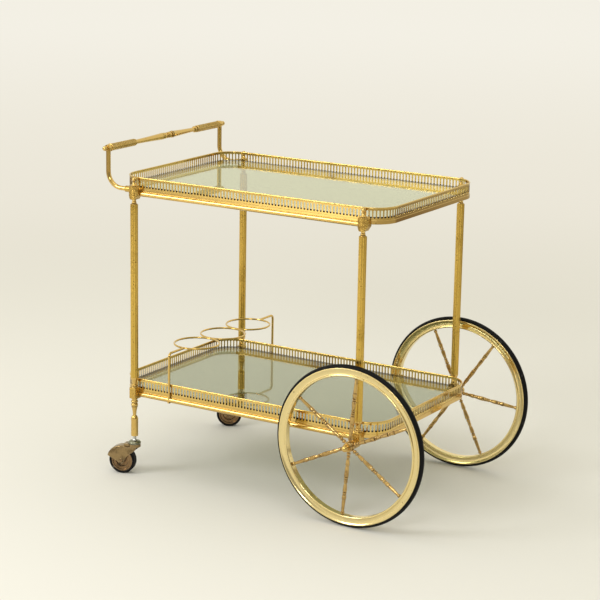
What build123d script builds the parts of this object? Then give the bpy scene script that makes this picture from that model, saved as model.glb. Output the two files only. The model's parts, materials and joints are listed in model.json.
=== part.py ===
from build123d import *
import math
import os

# Bar cart with two glass trays, two large spoked wheels and two swivel casters.
# Millimetres. The floor is Z = 0 and +Z is up. +X points from the handle end to the wheel end,
# and +Y is the left-hand side of a person who pushes the cart by its handle.

# Trays, measured over the outer face of the gallery strip
tray_length = 600.0
tray_width = 378.0
tray_corner_radius = 48.0
tray_spacing = 410.5

# Gallery strip with its row of upright slots
gallery_height = 24.0
gallery_thickness = 1.0
gallery_bead_radius = 1.4
slot_width = 4.2
slot_height = 15.0
slot_pitch = 7.1
slot_top_margin = 5.5

# Glass plates
glass_thickness = 6.0
glass_edge_gap = 0.4
glass_chamfer = 0.6

# Moulding that carries a gallery strip and a glass plate: a flat band all round, with a
# half-round rail on each long side
moulding_height = 14.0
moulding_bulge = 5.5
moulding_web = 3.5
ledge_depth = 10.0
ledge_thickness = 2.0
band_height = 7.5
band_proud = 1.0
band_edge = 0.4
rail_height = 10.3

# Posts and the tie rods inside them
post_end_inset = 40.5
post_radius = 7.7
post_bore_radius = 5.2
flute_count = 12
flute_radius = 2.0
flute_depth = 0.55
tie_rod_radius = 2.0
rod_moulding_gap = 0.5
rod_bore_gap = 0.1
rod_end_depth = 6.5

# Turned pieces above and below the posts
neck_height = 10.0
collar_height = 21.0
finial_height = 17.5

# Cast brackets that clasp the moulding
bracket_half_width = 11.0
bracket_foot_radius = 5.2
bracket_rise = 7.0
bracket_drop = 5.5
bracket_lip_reach = 3.0
bracket_side_flat = 0.4
block_half_width = 7.6
block_rise = 6.0
block_lip = 2.5
block_edge_round = 1.2
saddle_wall = 4.2
boss_radius = 8.5

# Screws that hold each bracket to the moulding from inside
screw_radius = 1.5
screw_spread = 4.2
screw_drop = 5.0
screw_head_radius = 2.8
screw_head_height = 1.6
screw_reach = 4.0

# Feet that carry the casters
foot_radius = 7.3
foot_socket_depth = 24.0

# Large wheels
wheel_radius = 158.5
tyre_height = 7.0
tyre_half_width = 6.0
tyre_seat_depth = 3.0
tyre_seat_half_width = 5.0
tyre_seat_gap = 0.15
rim_depth = 15.5
rim_width = 15.0
rim_cove_depth = 2.5
rim_cove_sag = 1.0
rim_inner_bead = 4.6
rim_lip_width = 2.0
rim_lip_edge = 0.7
wheel_post_gap = 9.8
spoke_count = 6
spoke_angle_right = 25.0
spoke_angle_left = -5.0
tenon_radius = 1.5
tenon_gap = 0.05
tenon_depth = 3.0
spoke_end_gap = 0.05

# Axle and hubs
axle_radius = 3.0
axle_running_gap = 0.05
axle_bore_gap = 0.1
axle_rim_gap = 0.5
axle_setback = 3.5
hub_band_radius = 9.5
hub_neck_radius = 6.6
hub_flange_radius = 8.4
hub_half_length = 10.0
hub_side_play = 0.3
hub_washer_thickness = 1.2
hub_washer_radius = 7.8
hub_cap_radius = 6.4

# Handle
handle_reach = 22.0
handle_height = 52.5
handle_arm_radius = 4.6
handle_arm_level = 13.5
handle_bend_radius = 31.0
handle_socket_radius = 6.4
handle_socket_length = 8.0
handle_socket_depth = 5.0
handle_rod_radius = 2.4
handle_eye_radius = 7.0
handle_eye_half_width = 4.8
handle_eye_crown = 0.8
grip_radius = 7.3
grip_length = 78.0
grip_flange_radius = 7.9
grip_flange_length = 3.0
knob_radius = 4.9
knob_neck_length = 2.6
knob_neck_radius = 3.0

# Bottle holder
holder_end_inset = 122.0
holder_height = 264.0
holder_wire_radius = 2.4
holder_wire_outset = 3.4
holder_spigot_radius = 1.5
holder_spigot_reach = 1.0
holder_shoulder_drop = 7.5
holder_bend_radius = 8.0
holder_hole_gap = 0.05
holder_ring_outer_radius = 47.5
holder_ring_wire_radius = 1.9
holder_nut_radius = 3.6
holder_nut_height = 4.0

# Casters
caster_wheel_radius = 27.3
caster_wheel_width = 16.0
caster_disc_radius = 22.3
caster_hub_radius = 6.5
caster_trail = 25.4
caster_turn_right = 15.0
caster_turn_left = 27.0
caster_cheek_gap = 1.2
caster_cheek_thickness = 1.6
caster_hood_gap = 3.0
caster_hood_thickness = 1.5
caster_hood_round = 3.0
caster_hood_back_angle = 163.0
caster_nose = 5.6
caster_eye_radius = 5.6
caster_cheek_step = 5.0
caster_crown_gap = 3.0
caster_crown_height = 6.0
caster_crown_radius = 12.5
caster_cup_radius = 13.0
caster_cup_height = 6.6
caster_swivel_gap = 0.4
caster_stem_radius = 3.4
caster_stem_exposed = 10.2
caster_running_gap = 0.08
caster_pin_radius = 2.4
caster_pin_head_radius = 3.6
caster_pin_head_height = 0.9

# Levels and places that follow from the sizes above
axle_level = wheel_radius
lower_rim_bottom = axle_level + axle_radius + axle_rim_gap
lower_ledge = lower_rim_bottom + moulding_height
lower_gallery_top = lower_ledge + gallery_height
upper_gallery_top = lower_gallery_top + tray_spacing
upper_ledge = upper_gallery_top - gallery_height
upper_rim_bottom = upper_ledge - moulding_height
upper_bracket_top = upper_ledge + bracket_rise
upper_bracket_bottom = upper_rim_bottom - bracket_drop
post_top = upper_bracket_bottom - neck_height
block_top = lower_ledge + block_rise
block_bottom = lower_rim_bottom - block_lip
post_bottom = block_top + collar_height

half_length = tray_length / 2
half_width = tray_width / 2
post_offset = moulding_bulge + rod_moulding_gap + tie_rod_radius
post_x = half_length - post_end_inset
post_y = half_width + post_offset
axle_x = post_x - axle_setback
wheel_y = post_y + post_radius + wheel_post_gap + rim_width / 2
hub_inner_face = wheel_y - hub_half_length
boss_end = hub_inner_face - hub_side_play - hub_washer_thickness
handle_x = -half_length - handle_reach
handle_level = upper_gallery_top + handle_height
arm_level = upper_rim_bottom + handle_arm_level
holder_x = -half_length + holder_end_inset
holder_y = half_width + holder_wire_outset
holder_shoulder = lower_ledge - holder_shoulder_drop

rim_outer_radius = wheel_radius - tyre_height
rim_inner_radius = rim_outer_radius - rim_depth
rim_seat_radius = rim_outer_radius - tyre_seat_depth

crown_bottom = 2 * caster_wheel_radius + caster_crown_gap
crown_top = crown_bottom + caster_crown_height
cup_bottom = crown_top + caster_swivel_gap
cup_top = cup_bottom + caster_cup_height
foot_bottom = cup_top + caster_stem_exposed
cheek_inner = caster_wheel_width / 2 + caster_cheek_gap
cheek_outer = cheek_inner + caster_cheek_thickness

# The origin is under the middle of the whole cart, so the trays sit off it along X
handle_end_reach = -handle_x + max(grip_flange_radius, handle_eye_radius)
wheel_end_reach = axle_x + wheel_radius
tray_x = (handle_end_reach - wheel_end_reach) / 2

RIGHT = -1
LEFT = 1
HANDLE_END = -1
WHEEL_END = 1
SIDE_NAMES = {RIGHT: "right", LEFT: "left"}
END_NAMES = {HANDLE_END: "handle", WHEEL_END: "wheel"}
CORNERS = [(end, side) for end in (HANDLE_END, WHEEL_END) for side in (RIGHT, LEFT)]


def save(name, *solids):
    """Writes one node, moved from the trays' frame to the cart's own frame."""
    placed = [Pos(tray_x, 0, 0) * solid for solid in solids]
    shape = placed[0] if len(placed) == 1 else Compound(children=placed)
    export_step(shape, f"parts/{name}.step")


def outline(start, *steps):
    """Closed face in the XZ plane. A step is a point, or the middle and the end of an arc."""
    edges = []
    here = start
    for step in steps:
        if isinstance(step[0], tuple):
            middle, end = step
            edges.append(ThreePointArc((here[0], 0, here[1]), (middle[0], 0, middle[1]), (end[0], 0, end[1])))
        else:
            end = step
            edges.append(Line((here[0], 0, here[1]), (end[0], 0, end[1])))
        here = end
    if here != start:
        edges.append(Line((here[0], 0, here[1]), (start[0], 0, start[1])))
    return make_face(edges)


def turned(features, bore=0.0):
    """Solid of revolution about Z that starts at Z = 0.

    Each feature is (length, start radius, end radius, bulge), where bulge is how far the line
    between the two radii swells outwards, or hollows where it is negative.
    """
    steps = []
    z = 0.0
    start = (bore, 0.0)
    here = start
    for length, first, last, bulge in features:
        if abs(here[0] - first) > 1e-6:
            steps.append((first, z))
        end = (last, z + length)
        if bulge:
            chord = math.hypot(last - first, length)
            middle = (
                (first + last) / 2 + bulge * length / chord,
                z + length / 2 - bulge * (last - first) / chord,
            )
            steps.append((middle, end))
        else:
            steps.append(end)
        here = end
        z += length
    if here[0] > bore + 1e-6:
        steps.append((bore, z))
    return revolve(outline(start, *steps), axis=Axis.Z)


def total_length(features):
    """Length of a list of turned features."""
    return sum(feature[0] for feature in features)


def rod(radius, start, end):
    """Round rod between two points."""
    start, end = Vector(*start), Vector(*end)
    plane = Plane(origin=start, z_dir=end - start)
    return extrude(plane * Circle(radius), amount=(end - start).length)


def block(x_range, y_range, z_range):
    """Rectangular block given by its lowest and highest coordinates."""
    sizes = [high - low for low, high in (x_range, y_range, z_range)]
    middles = [(low + high) / 2 for low, high in (x_range, y_range, z_range)]
    return Pos(*middles) * Box(*sizes)


def around_y(side):
    """Turns a piece built along +Z so that it points outwards on its side of the cart."""
    return Rot(-90 * side, 0, 0)


def tray_sides():
    """The four sides of a tray: rotation, distance to the corner centres, and half the run."""
    reach_x = half_length - tray_corner_radius
    reach_y = half_width - tray_corner_radius
    return [(90 * k, *((reach_x, reach_y) if k % 2 == 0 else (reach_y, reach_x))) for k in range(4)]


def tray_ring(section):
    """Carries a section round the tray. The section's X is the distance outside the gallery."""
    placed = Pos(tray_corner_radius, 0, 0) * section
    pieces = []
    for angle, reach, half_run in tray_sides():
        run = Pos(reach, -half_run, 0) * extrude(placed, amount=2 * half_run, dir=(0, 1, 0))
        corner = Pos(reach, half_run, 0) * revolve(placed, axis=Axis.Z, revolution_arc=90)
        pieces += [Rot(0, 0, angle) * run, Rot(0, 0, angle) * corner]
    return pieces[0].fuse(*pieces[1:])


def band_section():
    """Flat band just outside the gallery, with the ledge that carries the glass."""
    return outline(
        (-ledge_depth, 0),
        (band_proud - band_edge, 0),
        (band_proud, -band_edge),
        (band_proud, band_edge - band_height),
        (band_proud - band_edge, -band_height),
        (-moulding_web, -band_height),
        (-moulding_web, -ledge_thickness),
        (-ledge_depth, -ledge_thickness),
    )


def rail_section():
    """Half-round rail that hangs below the band's edge, with the web behind it."""
    radius = rail_height / 2
    centre = moulding_bulge - radius
    top = rail_height - moulding_height
    return outline(
        (-moulding_web, top),
        (centre, top),
        ((moulding_bulge, top - radius), (centre, -moulding_height)),
        (-moulding_web, -moulding_height),
    )


def moulding_ring(ledge):
    """One tray's band and its two rails, which run from post to post, with the ledge at a level."""
    section = Pos(-post_x, half_width, 0) * Rot(0, 0, 90) * rail_section()
    rail = extrude(section, amount=2 * post_x, dir=(1, 0, 0))
    ring = tray_ring(band_section()).fuse(rail, Rot(0, 0, 180) * rail)
    return Pos(0, 0, ledge) * ring


def slot_prism(depth):
    """Upright slot with round ends, cut along X and centred on the origin."""
    face = Plane.YZ * SlotOverall(slot_height, slot_width, rotation=90)
    return extrude(face, amount=depth / 2, both=True)


def gallery_ring(ledge):
    """Thin strip bent round the tray, with upright slots and a bead along its top."""
    slot_level = gallery_height - slot_top_margin - slot_height / 2
    outer = tray_corner_radius
    inner = outer - gallery_thickness
    height = gallery_height - gallery_bead_radius
    strip = outline((inner, 0), (outer, 0), (outer, height), (inner, height))
    slot = SlotOverall(slot_height, slot_width, rotation=90)
    pieces = []
    for angle, reach, half_run in tray_sides():
        count = round(2 * half_run / slot_pitch)
        pitch = 2 * half_run / count
        slots = [Pos((index + 0.5) * pitch - half_run, slot_level) * slot for index in range(count)]
        plate = Pos(0, height / 2) * Rectangle(2 * half_run, height) - slots
        face_plane = Plane(origin=(reach + outer, 0, 0), x_dir=(0, 1, 0), z_dir=(1, 0, 0))
        run = extrude(face_plane * plate, amount=-gallery_thickness)
        corner_count = round(math.pi / 2 * outer / slot_pitch)
        corner = revolve(strip, axis=Axis.Z, revolution_arc=90)
        cutters = [
            Rot(0, 0, 90 * (index + 0.5) / corner_count)
            * Pos(outer - gallery_thickness / 2, 0, slot_level)
            * slot_prism(4 * gallery_thickness)
            for index in range(corner_count)
        ]
        corner = Pos(reach, half_run, 0) * (corner - cutters)
        pieces += [Rot(0, 0, angle) * run, Rot(0, 0, angle) * corner]
    bead_section = Pos(-gallery_thickness / 2, 0, height) * (Plane.XZ * Circle(gallery_bead_radius))
    ring = pieces[0].fuse(*pieces[1:], tray_ring(bead_section))
    return Pos(0, 0, ledge) * ring


def glass_plate(ledge):
    """Glass plate that lies on the ledge inside the gallery strip."""
    inset = gallery_thickness + glass_edge_gap
    plan = RectangleRounded(tray_length - 2 * inset, tray_width - 2 * inset, tray_corner_radius - inset)
    plate = extrude(plan, amount=glass_thickness)
    rims = plate.faces().filter_by(Axis.Z).edges()
    return Pos(0, 0, ledge) * chamfer(rims, glass_chamfer)


def post():
    """Fluted tube, standing at the origin."""
    section = Circle(post_radius) - Circle(post_bore_radius)
    flute_centre = post_radius - flute_depth + flute_radius
    flutes = [
        Rot(0, 0, 360 * index / flute_count) * Pos(flute_centre, 0) * Circle(flute_radius)
        for index in range(flute_count)
    ]
    return extrude(section - flutes, amount=post_top - post_bottom)


def neck():
    """Small turned piece between a post and the bracket above it."""
    features = [
        (2.0, 5.8, 5.8, 0.0),
        (4.2, 3.6, 3.6, 1.2),
        (0.8, 3.2, 3.2, 0.0),
        (neck_height - 7.0, 4.0, bracket_foot_radius, -0.2),
    ]
    return turned(features, tie_rod_radius + rod_bore_gap)


def collar():
    """Turned spool between a post and the bracket below it."""
    features = [
        (2.6, 6.9, 6.9, 0.6),
        (1.4, 5.4, 5.4, 0.0),
        (3.0, 5.8, 5.8, 1.0),
        (collar_height - 10.0, 4.5, 7.4, -0.7),
        (3.0, 7.6, 7.6, 0.0),
    ]
    return turned(features, tie_rod_radius + rod_bore_gap)


def finial():
    """Turned baluster that closes a bracket and takes the end of the tie rod."""
    ball_radius = 4.3
    base = [(1.6, 6.4, 6.4, 0.4), (4.4, 6.2, 3.0, -0.7), (1.2, 3.6, 3.6, 0.3)]
    waist = 2.6
    ball_cut = math.sqrt(ball_radius**2 - waist**2)
    ball_centre = finial_height - ball_radius
    stalk = ball_centre - ball_cut - total_length(base)
    body = turned(base + [(stalk, waist, waist, 0.0), (ball_cut, waist, waist, 0.0)])
    body += Pos(0, 0, ball_centre) * Sphere(ball_radius)
    socket = rod(tie_rod_radius + rod_bore_gap, (0, 0, 0), (0, 0, rod_end_depth + rod_bore_gap))
    return body - socket


def tray_core(ledge):
    """Everything inside the outer face of one tray's gallery strip, from its ledge upwards."""
    plan = RectangleRounded(tray_length, tray_width, tray_corner_radius)
    return Pos(0, 0, ledge) * extrude(plan, amount=gallery_height)


def clasped(body, ledge):
    """Cuts the moulding and all that stands inside it out of a bracket that clasps the tray."""
    return body - moulding_ring(ledge) - tray_core(ledge)


def screw_places(end, side):
    """Places of the two screws that hold one bracket, on the outer face of the gallery."""
    return [(end * post_x + shift, side * half_width) for shift in (-screw_spread, screw_spread)]


def screw_bores(ledge, end, side):
    """Bores for one bracket's screws, with a flat seat for each head inside the moulding."""
    level = ledge - screw_drop
    radius = screw_radius + rod_bore_gap
    seat_radius = screw_head_radius + rod_bore_gap
    reach = moulding_bulge + screw_reach + rod_bore_gap
    bores = []
    for x, y in screw_places(end, side):
        seat = y - side * moulding_web
        bores.append(rod(radius, (x, seat - side, level), (x, y + side * reach, level)))
        bores.append(rod(seat_radius, (x, y - side * ledge_depth, level), (x, seat, level)))
    return bores


def screws(ledge, end, side):
    """The two screws of one bracket, with their slotted heads against the inside of the moulding."""
    level = ledge - screw_drop
    slot_half_width = 0.4
    pieces = []
    for x, y in screw_places(end, side):
        seat = y - side * moulding_web
        head_face = seat - side * screw_head_height
        slot_floor = seat - side * screw_head_height / 2
        shank = rod(screw_radius, (x, seat, level), (x, y + side * (moulding_bulge + screw_reach), level))
        head = rod(screw_head_radius, (x, head_face, level), (x, seat, level))
        slot = block(
            (x - slot_half_width, x + slot_half_width),
            sorted((head_face - side, slot_floor)),
            (level - screw_head_radius, level + screw_head_radius),
        )
        pieces.append(shank + head - slot)
    return pieces


def bracket_depth(side):
    """Lowest and highest Y of a bracket, from its lip under the moulding to its outer face."""
    return sorted((side * (half_width - bracket_lip_reach), side * (post_y + post_radius)))


def tie_rod_span(end):
    """Lowest and highest level of a tie rod. At the wheel end it stops above the axle."""
    if end == WHEEL_END:
        bottom = axle_level + axle_radius + rod_moulding_gap + axle_bore_gap
    else:
        bottom = block_bottom - rod_end_depth
    return bottom, upper_bracket_top + rod_end_depth


def tie_rod(end, side, gap=0.0):
    """Steel rod that pulls one corner's brackets and posts together."""
    bottom, top = tie_rod_span(end)
    x, y = end * post_x, side * post_y
    return rod(tie_rod_radius + gap, (x, y, bottom - gap), (x, y, top + gap))


def leaf_face():
    """Front outline of an upper bracket, a leaf that narrows to the neck below it."""
    wide = bracket_half_width
    shoulder = 0.55 * wide
    foot = bracket_foot_radius
    top, bottom = upper_bracket_top, upper_bracket_bottom
    lobe_level = upper_rim_bottom + bracket_rise / 2
    upper_bow = (0.92 * wide, top - 0.3 * (top - lobe_level))
    lower_bow = (0.7 * wide, bottom + 0.42 * (lobe_level - bottom))
    return outline(
        (-shoulder, top),
        (shoulder, top),
        (upper_bow, (wide, lobe_level)),
        (lower_bow, (foot, bottom)),
        (-foot, bottom),
        ((-lower_bow[0], lower_bow[1]), (-wide, lobe_level)),
        ((-upper_bow[0], upper_bow[1]), (-shoulder, top)),
    )


def upper_bracket(end, side):
    """Cast leaf that clasps the upper moulding. At the handle end it has a socket for the arm."""
    x, y = end * post_x, side * post_y
    low, high = bracket_depth(side)
    leaf = Pos(x, low, 0) * extrude(leaf_face(), amount=high - low, dir=(0, 1, 0))
    rounding = Ellipse(bracket_half_width + bracket_side_flat, post_radius)
    rounding += Pos(0, -side * post_offset) * Rectangle(2 * bracket_half_width, 2 * post_offset)
    height = upper_bracket_top - upper_bracket_bottom
    leaf &= Pos(x, y, upper_bracket_bottom) * extrude(rounding, amount=height)
    if end == HANDLE_END:
        mouth = x - bracket_half_width - handle_socket_length
        leaf += rod(handle_socket_radius, (x, y, arm_level), (mouth, y, arm_level))
        leaf -= rod(handle_arm_radius, (x - handle_arm_root(), y, arm_level), (mouth, y, arm_level))
    leaf = clasped(leaf, upper_ledge)
    return leaf - tie_rod(end, side, rod_bore_gap) - screw_bores(upper_ledge, end, side)


def handle_arm_root():
    """Distance from a post's axis to the end of the handle arm inside the bracket's socket."""
    return bracket_half_width - handle_socket_depth


def lower_bracket(end, side):
    """Cast block that clasps the lower moulding. At the wheel end it carries the axle."""
    x, y = end * post_x, side * post_y
    low, high = bracket_depth(side)
    body = block((x - block_half_width, x + block_half_width), (low, high), (block_bottom, block_top))
    outer_face = body.faces().sort_by(Axis.Y)[-1 if side == LEFT else 0]
    body = fillet(outer_face.edges(), block_edge_round)
    if end == WHEEL_END:
        saddle_radius = axle_radius + saddle_wall
        inner, outer = (low, high) if side == LEFT else (high, low)
        body += rod(saddle_radius, (axle_x, inner, axle_level), (axle_x, outer, axle_level))
        saddle_sides = (axle_x - saddle_radius, axle_x + saddle_radius)
        body += block(saddle_sides, (low, high), (axle_level, block_bottom + block_lip))
        boss_root = side * (half_width + moulding_bulge)
        body += rod(boss_radius, (axle_x, boss_root, axle_level), (axle_x, side * boss_end, axle_level))
    body = clasped(body, lower_ledge)
    if end == WHEEL_END:
        reach = boss_end + 1
        bore = axle_radius + axle_bore_gap
        body -= rod(bore, (axle_x, -reach, axle_level), (axle_x, reach, axle_level))
    return body - tie_rod(end, side, rod_bore_gap) - screw_bores(lower_ledge, end, side)


def foot():
    """Turned foot under a handle-end bracket, standing at the origin."""
    upper_features = [
        (8.0, foot_radius, 3.5, 1.0),
        (18.0, 3.5, 6.3, -0.6),
        (8.0, 5.2, 5.2, 1.9),
        (1.5, 4.5, 4.5, 0.0),
        (3.0, 6.8, 6.8, 0.5),
        (5.2, 5.6, 6.6, -0.3),
    ]
    height = block_bottom - foot_bottom
    barrel = (height - total_length(upper_features), foot_radius, foot_radius, 0.0)
    body = turned([barrel] + upper_features)
    socket_radius = caster_stem_radius + rod_bore_gap
    socket = rod(socket_radius, (0, 0, 0), (0, 0, foot_socket_depth + rod_bore_gap))
    rod_bore_start = height - rod_end_depth - rod_bore_gap
    rod_bore = rod(tie_rod_radius + rod_bore_gap, (0, 0, rod_bore_start), (0, 0, height))
    return body - socket - rod_bore


def holder_bores(side):
    """Stepped hole through the lower moulding for an upright of the bottle holder and its nut."""
    x, y = holder_x, side * holder_y
    steps = [
        (holder_wire_radius, holder_shoulder, lower_gallery_top),
        (holder_spigot_radius, lower_rim_bottom, holder_shoulder),
        (holder_nut_radius, lower_rim_bottom - 1, lower_rim_bottom + holder_nut_height),
    ]
    return [rod(radius + holder_hole_gap, (x, y, low), (x, y, high)) for radius, low, high in steps]


def axle():
    """Round bar under the lower tray, from one cap to the other."""
    reach = wheel_y + hub_half_length + hub_side_play + cap_bore_depth()
    return rod(axle_radius, (axle_x, -reach, axle_level), (axle_x, reach, axle_level))


def cap_base():
    """Turned features of an axle cap under its ball."""
    return [(1.4, 7.6, 7.6, 0.3), (1.6, 5.2, 5.2, 0.0)]


def cap_bore_depth():
    """Depth to which the axle enters a cap."""
    return total_length(cap_base()) + hub_cap_radius / 2


def axle_cap(side):
    """Ball-ended cap screwed on one end of the axle."""
    base = cap_base()
    neck_radius = base[-1][1]
    rise = math.sqrt(hub_cap_radius**2 - neck_radius**2)
    body = turned(base + [(rise, neck_radius, neck_radius, 0.0)])
    body += Pos(0, 0, total_length(base) + rise) * Sphere(hub_cap_radius)
    body -= rod(axle_radius, (0, 0, 0), (0, 0, cap_bore_depth()))
    seat = side * (wheel_y + hub_half_length + hub_side_play)
    return Pos(axle_x, seat, axle_level) * around_y(side) * body


def axle_washer(side):
    """Washer between a bracket's boss and the hub."""
    ring = (hub_washer_thickness, hub_washer_radius, hub_washer_radius, 0.0)
    body = turned([ring], axle_radius + axle_bore_gap)
    return Pos(axle_x, side * boss_end, axle_level) * around_y(side) * body


def wheel_place(side):
    """Place of a large wheel, whose own frame has its axle along +Z, pointing outwards."""
    return Pos(axle_x, side * wheel_y, axle_level) * around_y(side)


def spoke_turns(side):
    """Rotations of a wheel's spokes in the wheel's own frame."""
    angle = spoke_angle_right if side == RIGHT else spoke_angle_left
    return [Rot(0, 0, -side * angle + 360 * index / spoke_count) for index in range(spoke_count)]


def wheel_hub(side):
    """Turned hub with a radial hole for each spoke."""
    band_half_width = 4.0
    flange = 1.8
    cone = hub_half_length - band_half_width - flange
    features = [
        (flange, hub_flange_radius, hub_flange_radius, 0.3),
        (cone, hub_neck_radius, hub_band_radius - 0.8, -0.6),
        (2 * band_half_width, hub_band_radius, hub_band_radius, 0.7),
        (cone, hub_band_radius - 0.8, hub_neck_radius, -0.6),
        (flange, hub_flange_radius, hub_flange_radius, 0.3),
    ]
    body = Pos(0, 0, -hub_half_length) * turned(features, axle_radius + axle_running_gap)
    hole = rod(tenon_radius + tenon_gap, (spoke_root(), 0, 0), (2 * hub_band_radius, 0, 0))
    return wheel_place(side) * (body - [turn * hole for turn in spoke_turns(side)])


def spoke_root():
    """Distance from the wheel's axis to the inner end of a spoke's tenon."""
    return hub_band_radius - tenon_depth


def spoke():
    """Turned spoke along +X in the wheel's own frame, with a tenon at each end."""
    shaft_start = hub_band_radius + 0.9
    outer_features = [
        (1.6, 2.8, 2.8, 0.0),
        (5.2, 2.7, 2.7, 0.9),
        (1.2, 2.4, 2.4, 0.0),
        (4.6, 3.0, 3.0, 0.6),
        (1.0, 2.6, 2.6, 0.0),
        (13.5, 3.0, 3.9, 0.2),
        (1.2, 3.0, 3.0, 0.0),
        (21.0, 3.4, 4.1, 0.3),
        (1.0, 2.8, 2.8, 0.0),
        (5.0, 3.0, 3.0, 0.8),
        (4.0, 2.8, 2.8, 0.7),
        (4.0, 2.8, 2.8, 0.7),
        (1.4, 2.6, 2.6, 0.0),
        (15.0, 3.0, 3.8, 0.2),
        (1.2, 2.7, 2.7, 0.0),
        (5.0, 3.0, 3.0, 0.8),
        (9.0, 3.5, 4.0, 0.2),
        (1.2, 2.8, 2.8, 0.0),
    ]
    end_bead = [(4.6, 2.9, 2.9, 0.8), (1.2, 2.3, 2.3, 0.0)]
    shaft_end = rim_inner_radius - spoke_end_gap
    taper = shaft_end - shaft_start - total_length(outer_features) - total_length(end_bead)
    shaft = outer_features + [(taper, 3.2, 2.5, 0.1)] + end_bead
    inner_tenon = (shaft_start - spoke_root(), tenon_radius, tenon_radius, 0.0)
    outer_tenon = (rim_inner_radius + tenon_depth - shaft_end, tenon_radius, tenon_radius, 0.0)
    return Pos(spoke_root(), 0, 0) * Rot(0, 90, 0) * turned([inner_tenon] + shaft + [outer_tenon])


def wheel_rim(side):
    """Rolled rim: an inner bead, a shallow cove, a lip and the seat of the tyre."""
    half = rim_width / 2
    seat_half_width = tyre_seat_half_width + tyre_seat_gap
    bead_edge = rim_inner_radius + rim_inner_bead
    floor = half - rim_cove_depth
    lip_inner_radius = rim_outer_radius - rim_lip_width
    face = [
        (rim_inner_radius, floor),
        (rim_inner_radius + rim_inner_bead / 2, half),
        (bead_edge, floor),
        ((bead_edge + lip_inner_radius) / 2, (floor + half) / 2 - rim_cove_sag),
        (lip_inner_radius, half),
        (rim_outer_radius - rim_lip_edge, half),
        (rim_outer_radius, half - rim_lip_edge),
        (rim_outer_radius, seat_half_width),
        (rim_seat_radius, seat_half_width),
    ]
    back = [(radius, -z) for radius, z in face]
    section = outline(
        face[0],
        (face[1], face[2]),
        (face[3], face[4]),
        *face[5:],
        *reversed(back[4:]),
        (back[3], back[2]),
        (back[1], back[0]),
    )
    ring = revolve(section, axis=Axis.Z)
    hole_start = (rim_inner_radius - 2, 0, 0)
    hole_end = (rim_inner_radius + tenon_depth + tenon_gap, 0, 0)
    hole = rod(tenon_radius + tenon_gap, hole_start, hole_end)
    return wheel_place(side) * (ring - [turn * hole for turn in spoke_turns(side)])


def wheel_tyre(side):
    """Solid rubber tyre seated in the rim."""
    seat = tyre_seat_half_width
    half = tyre_half_width
    shoulder = rim_outer_radius + 0.55 * tyre_height
    section = outline(
        (rim_seat_radius, -seat),
        (rim_outer_radius, -seat),
        (rim_outer_radius + 0.3, -half),
        (shoulder, -half),
        ((wheel_radius, 0), (shoulder, half)),
        (rim_outer_radius + 0.3, half),
        (rim_outer_radius, seat),
        (rim_seat_radius, seat),
    )
    return wheel_place(side) * revolve(section, axis=Axis.Z)


def handle_arm(side):
    """Bent rod from the bracket's socket up to the eye that carries the crossbar."""
    start = (-post_x - handle_arm_root(), 0, arm_level)
    corner = (handle_x, 0, arm_level)
    end = (handle_x, 0, handle_level)
    path = FilletPolyline(start, corner, end, radius=handle_bend_radius)
    tube = sweep(Plane(origin=start, z_dir=(-1, 0, 0)) * Circle(handle_arm_radius), path=path)
    half = handle_eye_half_width
    edge_radius = handle_eye_radius - handle_eye_crown
    eye = turned([(2 * half, edge_radius, edge_radius, handle_eye_crown)])
    eye = Pos(handle_x, -half, handle_level) * around_y(LEFT) * eye
    return Pos(0, side * post_y, 0) * (tube + eye - handle_rod(rod_bore_gap))


def handle_rod(gap=0.0):
    """Steel rod through the crossbar, the grips and both eyes, into the knobs."""
    reach = post_y + handle_eye_half_width + knob_neck_length + knob_radius + gap
    return rod(handle_rod_radius + gap, (handle_x, -reach, handle_level), (handle_x, reach, handle_level))


def grip_outer_end():
    """Distance from the cart's middle to the outer end of a grip."""
    return post_y - handle_eye_half_width


def grip_inner_end():
    """Distance from the cart's middle to the inner end of a grip."""
    return grip_outer_end() - grip_flange_length - grip_length


def handle_grip(side):
    """Sleeve that the hand holds, with a flange next to the eye."""
    features = [
        (grip_length, grip_radius, grip_radius, 0.0),
        (grip_flange_length, grip_flange_radius - 0.5, grip_flange_radius - 0.5, 0.5),
    ]
    body = turned(features, handle_rod_radius + rod_bore_gap)
    return Pos(handle_x, side * grip_inner_end(), handle_level) * around_y(side) * body


def handle_bar():
    """Turned middle of the crossbar: two tapers that meet at a pair of beads."""
    middle_shift = 7.0
    near_end = [(3.2, 6.2, 6.2, 0.4)]
    bead = (8.6, 5.3, 5.3, 1.2)
    middle = [
        (1.6, 5.6, 5.6, 0.0),
        (3.0, 6.5, 6.5, 0.4),
        (2.0, 4.9, 4.9, 0.0),
        bead,
        (2.6, 4.6, 4.6, 0.0),
        (2.4, 5.7, 5.7, 0.3),
        (2.6, 4.6, 4.6, 0.0),
        bead,
        (2.0, 4.9, 4.9, 0.0),
        (3.0, 6.5, 6.5, 0.4),
        (1.6, 5.6, 5.6, 0.0),
    ]
    far_end = [(1.4, 3.8, 3.8, 0.0), (7.6, 5.2, 5.2, 1.5), (1.2, 4.6, 4.6, 0.0), (4.0, 6.7, 6.7, 0.5)]
    tapers = 2 * grip_inner_end() - total_length(near_end + middle + far_end)
    near_taper = (tapers / 2 + middle_shift, 4.5, 7.0, -0.3)
    far_taper = (tapers / 2 - middle_shift, 7.0, 4.4, -0.3)
    features = near_end + [near_taper] + middle + [far_taper] + far_end
    body = turned(features, handle_rod_radius + rod_bore_gap)
    return Pos(handle_x, -grip_inner_end(), handle_level) * around_y(LEFT) * body


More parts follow.
